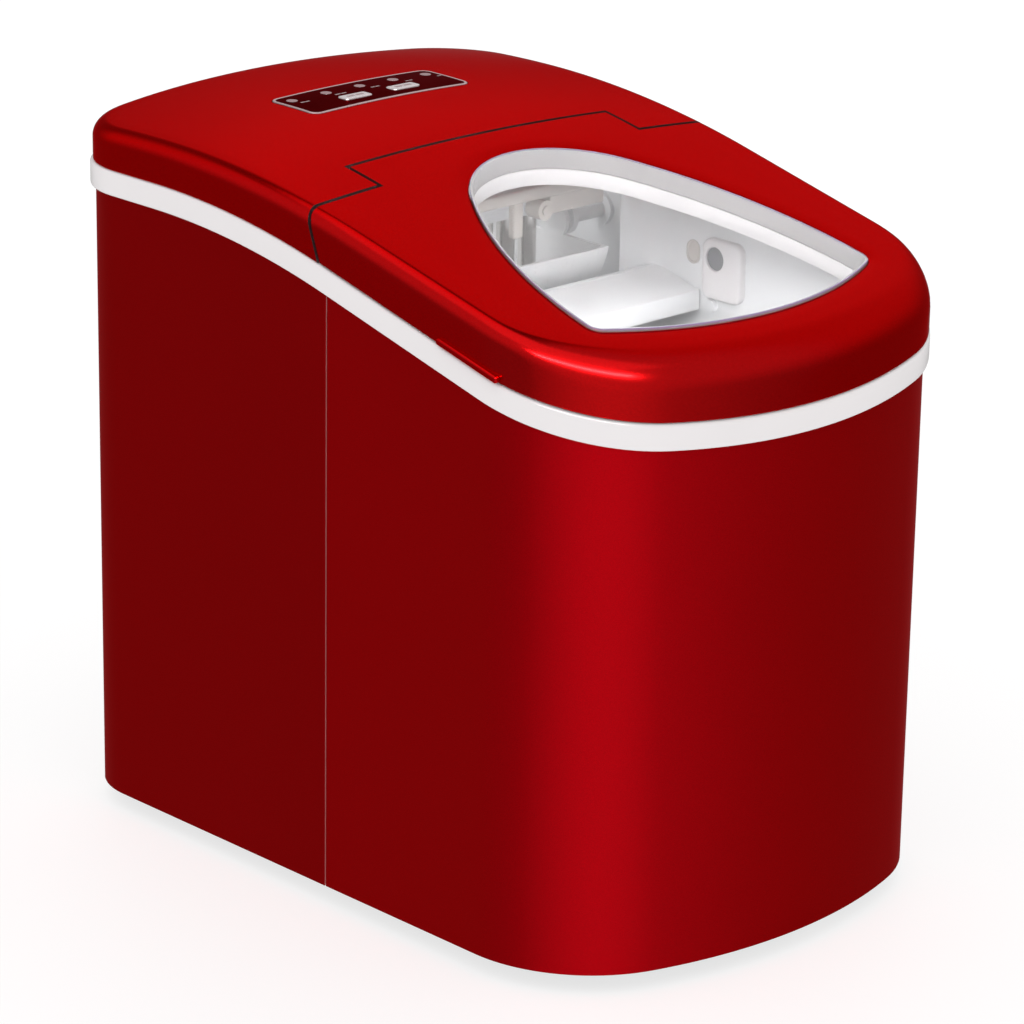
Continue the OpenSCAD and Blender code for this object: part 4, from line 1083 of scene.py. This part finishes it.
def make_basket():
    """The ice basket, with slots in its sides and a grid of holes in its floor."""
    slots = [-100 + 13 * i for i in range(6)]
    stops = [s + d for s in slots for d in (0, 1.2, 3.8, 5)]
    bm = bmesh.new()
    rows = foot_round(5, 0, BASKET_FLOOR, (0, 22, 45, 68, 90))
    rows += [(0, z) for z in (144, 147, 175, 178, 200, 224.5)]
    rows += [(-0.3, 225.4), (-1.0, 225.9), (-3.4, 226.0)]
    base = split_sides(basket_ring(0), stops, 84)
    inner = split_matching(basket_ring(0), basket_ring(1), base)
    inward = [(b[0] - a[0], b[1] - a[1]) for a, b in zip(base, inner)]
    levels = [[(x + nx * t, y + ny * t, z) for (x, y), (nx, ny) in zip(base, inward)] for t, z in rows]
    rings = [loop(bm, levels[0])]
    for points in levels[1:]:
        rings.append(grow(bm, rings[-1], points))
    gone = []
    for k, z in enumerate(r[1] for r in rows):
        if z not in (144, 147, 175):
            continue
        for i, p in enumerate(base):
            j = (i + 1) % len(base)
            q = base[j]
            if abs(p[0]) < 91 or abs(q[0]) < 91:
                continue
            y = (p[1] + q[1]) / 2
            if any(s < y < s + 5 for s in slots):
                corner = {rings[k][i], rings[k][j], rings[k + 1][i], rings[k + 1][j]}
                edge_cell = any(s < y < s + 1.2 or s + 3.8 < y < s + 5 for s in slots)
                if not (edge_cell and z in (144, 175)):
                    gone += [f for f in rings[k][i].link_faces if set(f.verts) == corner]
    bmesh.ops.delete(bm, geom=list(set(gone)), context="FACES")
    bm.faces.new(rings[0])
    for i in range(-5, 6):
        for x in (i * 14 - 2.5, i * 14 + 2.5):
            slice_floor(bm, (x, 0, 0), (1, 0, 0))
    for y in (-130, -94, -82, -46):
        slice_floor(bm, (0, y, 0), (0, 1, 0))
    holes = [f for f in bm.faces if abs(centre(f).z - BASKET_FLOOR) < 0.01
             and (-130 < centre(f).y < -94 or -82 < centre(f).y < -46)
             and any(abs(centre(f).x - i * 14) < 2.4 for i in range(-5, 6))]
    bmesh.ops.delete(bm, geom=holes, context="FACES")
    face_out(bm, 180, 220)
    piece("basket", bm, "basket", white_matte(), ("ice_basket",), wall=2.0, rim=0.5, sharp=35)


def split_matching(outer, inner, split):
    """Gives an inner ring the same extra points that split_sides gave the outer one."""
    out, k = [], 0
    n = len(outer)
    for p in split:
        if k < n and p == outer[k]:
            out.append(inner[k])
            k += 1
            continue
        a, b = outer[k - 1], outer[k % n]
        c, d = inner[k - 1], inner[k % n]
        share = (p[1] - a[1]) / (b[1] - a[1])
        out.append((c[0] + (d[0] - c[0]) * share, c[1] + (d[1] - c[1]) * share))
    return out


def slice_floor(bm, co, no):
    slice_faces(bm, [f for f in bm.faces if abs(centre(f).z - BASKET_FLOOR) < 0.01], co, no)


def wall_plate(side, outline_of, rows):
    """Rings that stand on a side wall of the tub, from rows of (inset, distance from the middle)."""
    return [[(side * x, y, z) for y, z in outline_of(t)] for t, x in rows]


def make_sensors():
    """The two ice level sensors: a case with a round recess, and the lens in it."""
    lens_y, lens_z = -25, 256
    bm = bmesh.new()
    for side in (-1, 1):
        levels = wall_plate(
            side, lambda t: box_ring(-29, 251, 24 - 2 * t, 28 - 2 * t, 5 - t),
            [(0, 101.05), (0, 98.6), (0.25, 98.0), (0.7, 97.55), (1.3, 97.4)])
        levels += wall_plate(
            side, lambda r: circle_ring(lens_y, lens_z, r),
            [(5.9, 97.4), (5.6, 97.5), (5.5, 97.8), (5.5, 99.4)])
        cap(bm, stack(bm, levels)[1])
    tidy(bm)
    piece("sensor_cases", bm, "case", white_gloss(), ("sensor_housings",), sharp=40)
    bm = bmesh.new()
    for side in (-1, 1):
        levels = wall_plate(
            side, lambda r: circle_ring(lens_y, lens_z, r),
            [(5.3, 99.3), (5.3, 98.5), (5.0, 98.25), (3.5, 97.9), (1.5, 97.7)])
        cap(bm, stack(bm, levels)[1])
    tidy(bm)
    piece("sensor_windows", bm, "case", lens(), ("sensor_lenses",), sharp=60)


def make_wall_details():
    """Ribs, screw heads and plugs on the inner walls of the tub."""
    bm = bmesh.new()
    for side in (-1, 1):
        rod(bm, (side * 100.9, 17.4, 253.4), (side * 100.9, 1.7, 238.9), 0.6, 16)
        for a, b in (((24.5, 262.0), (20.2, 264.0)), ((20.2, 264.0), (19.7, 257.5))):
            rod(bm, (side * 99.6, *a), (side * 99.6, *b), 1.0, 20)
        rod(bm, (side * 99.0, -21.7, 233.1), (side * 101.2, -21.7, 233.1), 2.6, 32, 2.9)
    tidy(bm)
    piece("wall_clips", bm, "case", white_matte())
    bm = bmesh.new()
    for side in (-1, 1):
        levels = wall_plate(
            side, lambda t: box_ring(-8.7, 255.7, 8 - 2 * t, 11 - 2 * t, 3.9 - t),
            [(0, 101.05), (0, 100.6), (0.4, 100.3), (1.0, 100.3), (1.3, 100.8)])
        cap(bm, stack(bm, levels)[1])
    tidy(bm)
    piece("wall_ovals", bm, "case", smoky_frost())


def make_frame_beams():
    """The smoky frame above the tray: a cross beam, its posts and pads, and two round bosses."""
    bm = bmesh.new()
    beams = [((-101, 19, 286), (101, 25, 292))]
    for x0, x1, y0, y1, z0, z1 in ((16, 22, 20, 24, 270, 287), (40, 74, 22, 30, 277, 290)):
        beams += [((x0, y0, z0), (x1, y1, z1)), ((-x1, y0, z0), (-x0, y1, z1))]
    for low, high in beams:
        soften(bm, blocks(bm, low, high), 1.0, 3)
    for x in (33, -33):
        rod(bm, (x, 17.5, 281), (x, 26, 281), 4.5, 40)
        rod(bm, (x, 16.6, 281), (x, 18, 281), 2.2, 32)
    tidy(bm)
    piece("guide_frame", bm, "case", smoky_frost(), sharp=40)


def make_cord_bushing():
    profile = [
        (4.2, 0.2), (3.5, 0.4), (3.5, 1.7), (3.8, 2.05), (4.6, 2.1), (11.0, 2.1), (11.7, 1.8), (12.0, 1.1),
        (12.0, 0.12), (8.9, 0.1), (8.9, -13.8), (4.2, -13.8)]
    bm = bmesh.new()
    lathe(bm, profile, (0, HALF_D - WRAP_INSET, 34), (0, 1, 0), 72)
    tidy(bm)
    piece("cord_bushing", bm, "case", rubber(), ("cord_gland",))


def make_drain_plug():
    """The drain cap, with ribs round its edge to grip."""
    profile = [
        (0, 4.2), (6.4, 4.2), (6.4, 3.5), (7.08, 3.5), (7.08, 13.2), (7.5, 13.4), (10.6, 13.4), (11, 13.0),
        (11, 12.2), (10.4, 11.6), (10.4, 2.6), (10.0, 1.9), (9.2, 1.45), (3.5, 1.4), (3.2, 1.7), (0, 1.7)]
    bm = bmesh.new()
    lathe(bm, profile, (*DRAIN, 0), (0, 0, 1), 72)
    for x, y in arc(*DRAIN, 10.6, 0, 360, 24):
        rod(bm, (x, y, 2.2), (x, y, 11.8), 0.8, 12)
    tidy(bm)
    piece("drain_plug", bm, "drain_cap", ivory_plastic(), ("drain_cap",))


def make_wall_screws():
    """Slotted screws that hold the rear wall, near its corners."""
    head = [(0, 1.75), (1.6, 1.7), (2.8, 1.35), (3.35, 0.7), (3.4, 0.35), (0, 0.35)]
    bow = CASE_ROUNDS[3] - WRAP_INSET
    bm = bmesh.new()
    for x in (-40, 40):
        wall_y = HALF_D - WRAP_INSET - bow + math.sqrt(bow * bow - x * x)
        for z in (26, 262):
            lathe(bm, head, (x, wall_y, z), (0, 1, 0), 40)
            verts = blocks(bm, (x - 2.1, wall_y + 1.5, z - 0.35), (x + 2.1, wall_y + 1.78, z + 0.35))
            turn = Matrix.Rotation(0.6 + x, 3, "Y")
            bmesh.ops.rotate(bm, verts=verts, cent=(x, wall_y, z), matrix=turn)
    tidy(bm)
    piece("wall_screws", bm, "case", steel(), ("wrap_screws",))


def make_liner_screws():
    head = [(0, 0.35), (1.7, 0.25), (2.8, 0.6), (3.0, 1.0), (3.0, 1.6), (0, 1.6)]
    bm = bmesh.new()
    for x, y in ((88.6, -100), (97, -60), (100, -22), (60, -155), (0, -161)):
        for side in (-1, 1) if x else (1,):
            lathe(bm, head, (x * side, y, top_z(x, y) - 14), (0, 0, 1), 36)
    tidy(bm)
    piece("liner_screws", bm, "lid", steel(), ("lid_screws",))


# ---------------------------------------------------------------- the CAD nodes that are shown as they are

def finish_carried(nodes):
    for make, names in CARRIED.items():
        for name in names:
            materials = nodes[name].data.materials
            materials.clear()
            materials.append(make())


# ---------------------------------------------------------------- floor, light and camera

def blend(tree, share, low, high):
    return node(tree, "ShaderNodeMix", {
        "Factor": share, "A": low, "B": high}, data_type="FLOAT").outputs["Result"]


def fade(tree, angle, low, high, start, end):
    """A level that changes between two compass angles, in degrees."""
    return spread(tree, angle, low, high, math.radians(start), math.radians(end))


def make_world(looks):
    """Even white light, and a pattern of light and dark that only shiny surfaces see."""
    world = bpy.data.worlds.new("Studio")
    bpy.context.scene.world = world
    world.use_nodes = True
    tree = world.node_tree
    tree.nodes.clear()
    coords = node(tree, "ShaderNodeTexCoord")
    axes = node(tree, "ShaderNodeSeparateXYZ", {"Vector": coords.outputs["Generated"]}).outputs
    turn = maths(tree, "ARCTAN2", axes["Y"], axes["X"])
    # Above the horizon it is bright, but for a dark streak between the right side and the back
    streak = maths(tree, "ADD", fade(tree, turn, 1.0, 0.3, 50, 64), fade(tree, turn, 0.0, 0.6, 84, 112))
    bright = fade(tree, turn, 0.78 * looks.mirror_high, looks.mirror_high, 15, 50)
    high = maths(tree, "MULTIPLY", bright, streak)
    low = fade(tree, turn, 0.85 * looks.mirror_low, 1.08 * looks.mirror_low, -60, 130)
    rise = node(tree, "ShaderNodeMapRange", {
        "Value": axes["Z"], "From Min": -0.06, "From Max": 0.5}, interpolation_type="SMOOTHSTEP")
    level = blend(tree, rise.outputs["Result"], low, high)
    # A dark patch high up at the back right, and a bright roof on the right
    patch = maths(tree, "MULTIPLY", spread(tree, axes["Z"], 0.0, 0.85, 0.74, 0.79),
                  spread(tree, turn, 0.0, 1.0, 0.42, 0.62))
    patch = maths(tree, "MULTIPLY", patch, spread(tree, turn, 1.0, 0.0, 1.7, 2.2))
    level = maths(tree, "MULTIPLY", level, maths(tree, "SUBTRACT", 1.0, patch))
    roof = maths(tree, "MULTIPLY", spread(tree, axes["Z"], 0.0, 1.0, 0.8, 0.84),
                 spread(tree, maths(tree, "ABSOLUTE", turn), 0.0, 1.0, 0.9, 1.1))
    level = blend(tree, roof, level, looks.roof_glow)
    # A soft glow low down at the front left
    off = maths(tree, "ADD", turn, math.radians(-looks.glow_side))
    share = maths(tree, "DIVIDE", off, math.radians(looks.glow_width))
    bell = maths(tree, "EXPONENT", maths(tree, "MULTIPLY", maths(tree, "POWER", share, 2.0), -1.0))
    glow = maths(tree, "MULTIPLY", bell, spread(tree, axes["Z"], looks.glow, 0.0, 0.1, 0.5))
    shiny = node(tree, "ShaderNodeLightPath").outputs["Is Glossy Ray"]
    back = node(tree, "ShaderNodeBackground", {
        "Color": (1, 1, 1, 1), "Strength": blend(tree, shiny, 1.0, maths(tree, "ADD", level, glow))})
    out = node(tree, "ShaderNodeOutputWorld")
    tree.links.new(back.outputs["Background"], out.inputs["Surface"])


def make_floor(looks):
    bm = bmesh.new()
    bmesh.ops.create_grid(bm, x_segments=1, y_segments=1, size=6.0)
    mesh = bpy.data.meshes.new("floor")
    bm.to_mesh(mesh)
    bm.free()
    obj = bpy.data.objects.new("floor", mesh)
    bpy.context.scene.collection.objects.link(obj)
    mat, tree, shader = new_material(
        "studio floor", Roughness=0.6, Specular_IOR_Level=0.2, Emission_Color=(1, 1, 1, 1),
        Emission_Strength=looks.floor_glow)
    wire(shader, Base_Color=vary_colour(tree, noise(tree, 3.0), [looks.floor_shade] * 3, 0.995, 1.005))
    mesh.materials.append(mat)
    obj.visible_glossy = False


def aim(obj, spot, target):
    obj.location = spot
    obj.rotation_euler = (Vector(target) - Vector(spot)).to_track_quat("-Z", "Y").to_euler()


def softbox(name, spot, target, width, height, power):
    """A rectangular lamp that isn't seen itself."""
    light = bpy.data.lights.new(name, "AREA")
    light.shape = "RECTANGLE"
    light.size, light.size_y = width, height
    light.energy = power
    obj = bpy.data.objects.new(name, light)
    bpy.context.scene.collection.objects.link(obj)
    aim(obj, spot, target)
    obj.visible_camera = False
    obj.visible_transmission = False
    return obj


def make_lights():
    """A strip that draws the bright line on the lid's edge, and small lamps inside the tub and the bay."""
    distance, middle = 3.0, 0.15
    a, e = math.radians(-130), math.radians(45)
    flat = distance * math.cos(e)
    spot = (flat * math.cos(a), flat * math.sin(a), middle + distance * math.sin(e))
    strip = softbox("edge strip", spot, (0, 0, middle), 2.6, 0.3, 95)
    strip.visible_diffuse = False
    for name, spot, target, width, depth, power in (
            ("tub fill", (0, -0.07, 0.262), (0, -0.09, 0), 0.15, 0.09, 0.055),
            ("tub back fill", (-0.045, -0.09, 0.19), (-0.06, 0.1, 0.2), 0.05, 0.05, 0.011),
            ("bay fill", (0, 0.077, 0.297), (0, 0.057, 0), 0.17, 0.03, 0.045)):
        softbox(name, spot, target, width, depth, power).visible_glossy = False


def make_camera():
    data = bpy.data.cameras.new("Camera")
    data.sensor_width = 36.0
    data.lens = 155.07
    data.clip_start, data.clip_end = 0.05, 50
    obj = bpy.data.objects.new("Camera", data)
    bpy.context.scene.collection.objects.link(obj)
    right, up = (0.7241, -0.6895, 0.0155), (0.2113, 0.2433, 0.9467)
    back = (-0.6565, -0.6822, 0.3219)
    turn = Matrix((right, up, back)).transposed().to_4x4()
    obj.matrix_world = Matrix.Translation((-1.288634, -1.337662, 0.783746)) @ turn
    bpy.context.scene.camera = obj


# ---------------------------------------------------------------- add-on

class MakerSizes(bpy.types.PropertyGroup):
    window_dip: FloatProperty(
        name="Window dip", description="How far the lid's surface sinks towards the window", default=0.0013,
        min=0.0, max=0.0025, unit="LENGTH")


class MakerLooks(bpy.types.PropertyGroup):
    case_red: FloatVectorProperty(
        name="Case red", description="Colour of the painted case", subtype="COLOR", size=3, min=0, max=1,
        default=(0.5, 0.0, 0.004))
    case_roughness: FloatProperty(
        name="Case roughness", description="How soft the reflections on the case are", subtype="FACTOR",
        default=0.4, min=0, max=1)
    cover_red: FloatVectorProperty(
        name="Cover red", description="Colour of the lid and the rear cover", subtype="COLOR", size=3,
        default=(0.51, 0.004, 0.005), min=0, max=1)
    cover_roughness: FloatProperty(
        name="Cover roughness", description="How soft the reflections on the covers are", subtype="FACTOR",
        default=0.19, min=0, max=1)
    mirror_low: FloatProperty(
        name="Low reflection", description="Brightness that shiny walls reflect from below the horizon",
        default=0.32, min=0, max=2)
    mirror_high: FloatProperty(
        name="High reflection", description="Brightness that shiny surfaces reflect from above the horizon",
        default=0.85, min=0, max=2)
    roof_glow: FloatProperty(
        name="Roof glow", description="Brightness that rounded edges reflect from high above",
        default=1.3, min=0, max=4)
    glow: FloatProperty(
        name="Glow", description="Brightness of the light that the case's front left corner reflects",
        default=0.56, min=0, max=3)
    glow_side: FloatProperty(
        name="Glow direction", description="Compass angle of that light, in degrees from the right side",
        default=-125, min=-180, max=180)
    glow_width: FloatProperty(
        name="Glow width", description="Spread of that light, in degrees", default=52, min=5, max=90)
    floor_shade: FloatProperty(
        name="Floor shade", description="Brightness of the studio floor", subtype="FACTOR",
        default=0.3, min=0, max=1)
    floor_glow: FloatProperty(
        name="Floor glow", description="How much the studio floor is lit from below",
        default=0.72, min=0, max=2)


class MAKER_OT_case(bpy.types.Operator):
    """Builds the two sheet metal walls of the case and the white band above them"""
    bl_idname = "maker.case"
    bl_label = "Case walls and band"

    def execute(self, context):
        make_front_wrap()
        make_rear_wrap()
        make_band()
        return {"FINISHED"}


class MAKER_OT_covers(bpy.types.Operator):
    """Builds the lid, the rear cover and the ears of their hinge"""
    bl_idname = "maker.covers"
    bl_label = "Lid and rear cover"

    def execute(self, context):
        make_lid(context.scene.maker_sizes)
        make_rear_cover()
        make_hinge_ears()
        make_finger_lips()
        return {"FINISHED"}


class MAKER_OT_window(bpy.types.Operator):
    """Builds the window in the lid, its collar and the white liner below"""
    bl_idname = "maker.window"
    bl_label = "Window and liner"

    def execute(self, context):
        make_window()
        make_liner()
        return {"FINISHED"}


class MAKER_OT_controls(bpy.types.Operator):
    """Builds the control panel with its lamps and the two buttons"""
    bl_idname = "maker.controls"
    bl_label = "Control panel"

    def execute(self, context):
        make_panel()
        make_buttons()
        return {"FINISHED"}


class MAKER_OT_tub(bpy.types.Operator):
    """Builds the tub, the ice basket and the fittings on the tub's walls"""
    bl_idname = "maker.tub"
    bl_label = "Tub and basket"

    def execute(self, context):
        make_tub()
        make_basket()
        make_sensors()
        make_wall_details()
        make_frame_beams()
        return {"FINISHED"}


class MAKER_OT_small_parts(bpy.types.Operator):
    """Builds the drain cap, the cord bushing and the screws"""
    bl_idname = "maker.small_parts"
    bl_label = "Small parts"

    def execute(self, context):
        make_cord_bushing()
        make_drain_plug()
        make_wall_screws()
        make_liner_screws()
        return {"FINISHED"}


class MAKER_OT_finishes(bpy.types.Operator):
    """Gives the CAD parts that are shown as they are their finishes"""
    bl_idname = "maker.finishes"
    bl_label = "Finishes of the inner parts"

    def execute(self, context):
        finish_carried(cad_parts)
        return {"FINISHED"}


class MAKER_OT_studio(bpy.types.Operator):
    """Builds the floor, the lights, the surroundings and the camera"""
    bl_idname = "maker.studio"
    bl_label = "Studio"

    def execute(self, context):
        looks = context.scene.maker_looks
        make_world(looks)
        make_floor(looks)
        make_lights()
        make_camera()
        context.scene.view_settings.view_transform = "Standard"
        return {"FINISHED"}


class MAKER_PT_build(bpy.types.Panel):
    """Lists the steps that build the ice maker"""
    bl_label = "Ice Maker"
    bl_idname = "MAKER_PT_build"
    bl_space_type = "VIEW_3D"
    bl_region_type = "UI"
    bl_category = "Ice Maker"

    def draw(self, context):
        layout = self.layout
        for step in STEPS:
            layout.operator(step.bl_idname)
        for group in (context.scene.maker_sizes, context.scene.maker_looks):
            for name in group.__annotations__:
                layout.prop(group, name)


STEPS = (
    MAKER_OT_case, MAKER_OT_covers, MAKER_OT_window, MAKER_OT_controls, MAKER_OT_tub, MAKER_OT_small_parts,
    MAKER_OT_finishes, MAKER_OT_studio,
)
CLASSES = (MakerSizes, MakerLooks) + STEPS + (MAKER_PT_build,)


def register():
    for cls in CLASSES:
        bpy.utils.register_class(cls)
    bpy.types.Scene.maker_sizes = PointerProperty(type=MakerSizes)
    bpy.types.Scene.maker_looks = PointerProperty(type=MakerLooks)


def unregister():
    del bpy.types.Scene.maker_looks
    del bpy.types.Scene.maker_sizes
    for cls in reversed(CLASSES):
        bpy.utils.unregister_class(cls)


def main():
    register()
    bpy.ops.maker.case()
    bpy.ops.maker.covers()
    bpy.ops.maker.window()
    bpy.ops.maker.controls()
    bpy.ops.maker.tub()
    bpy.ops.maker.small_parts()
    bpy.ops.maker.finishes()
    bpy.ops.maker.studio()


if __name__ == "__main__":
    main()
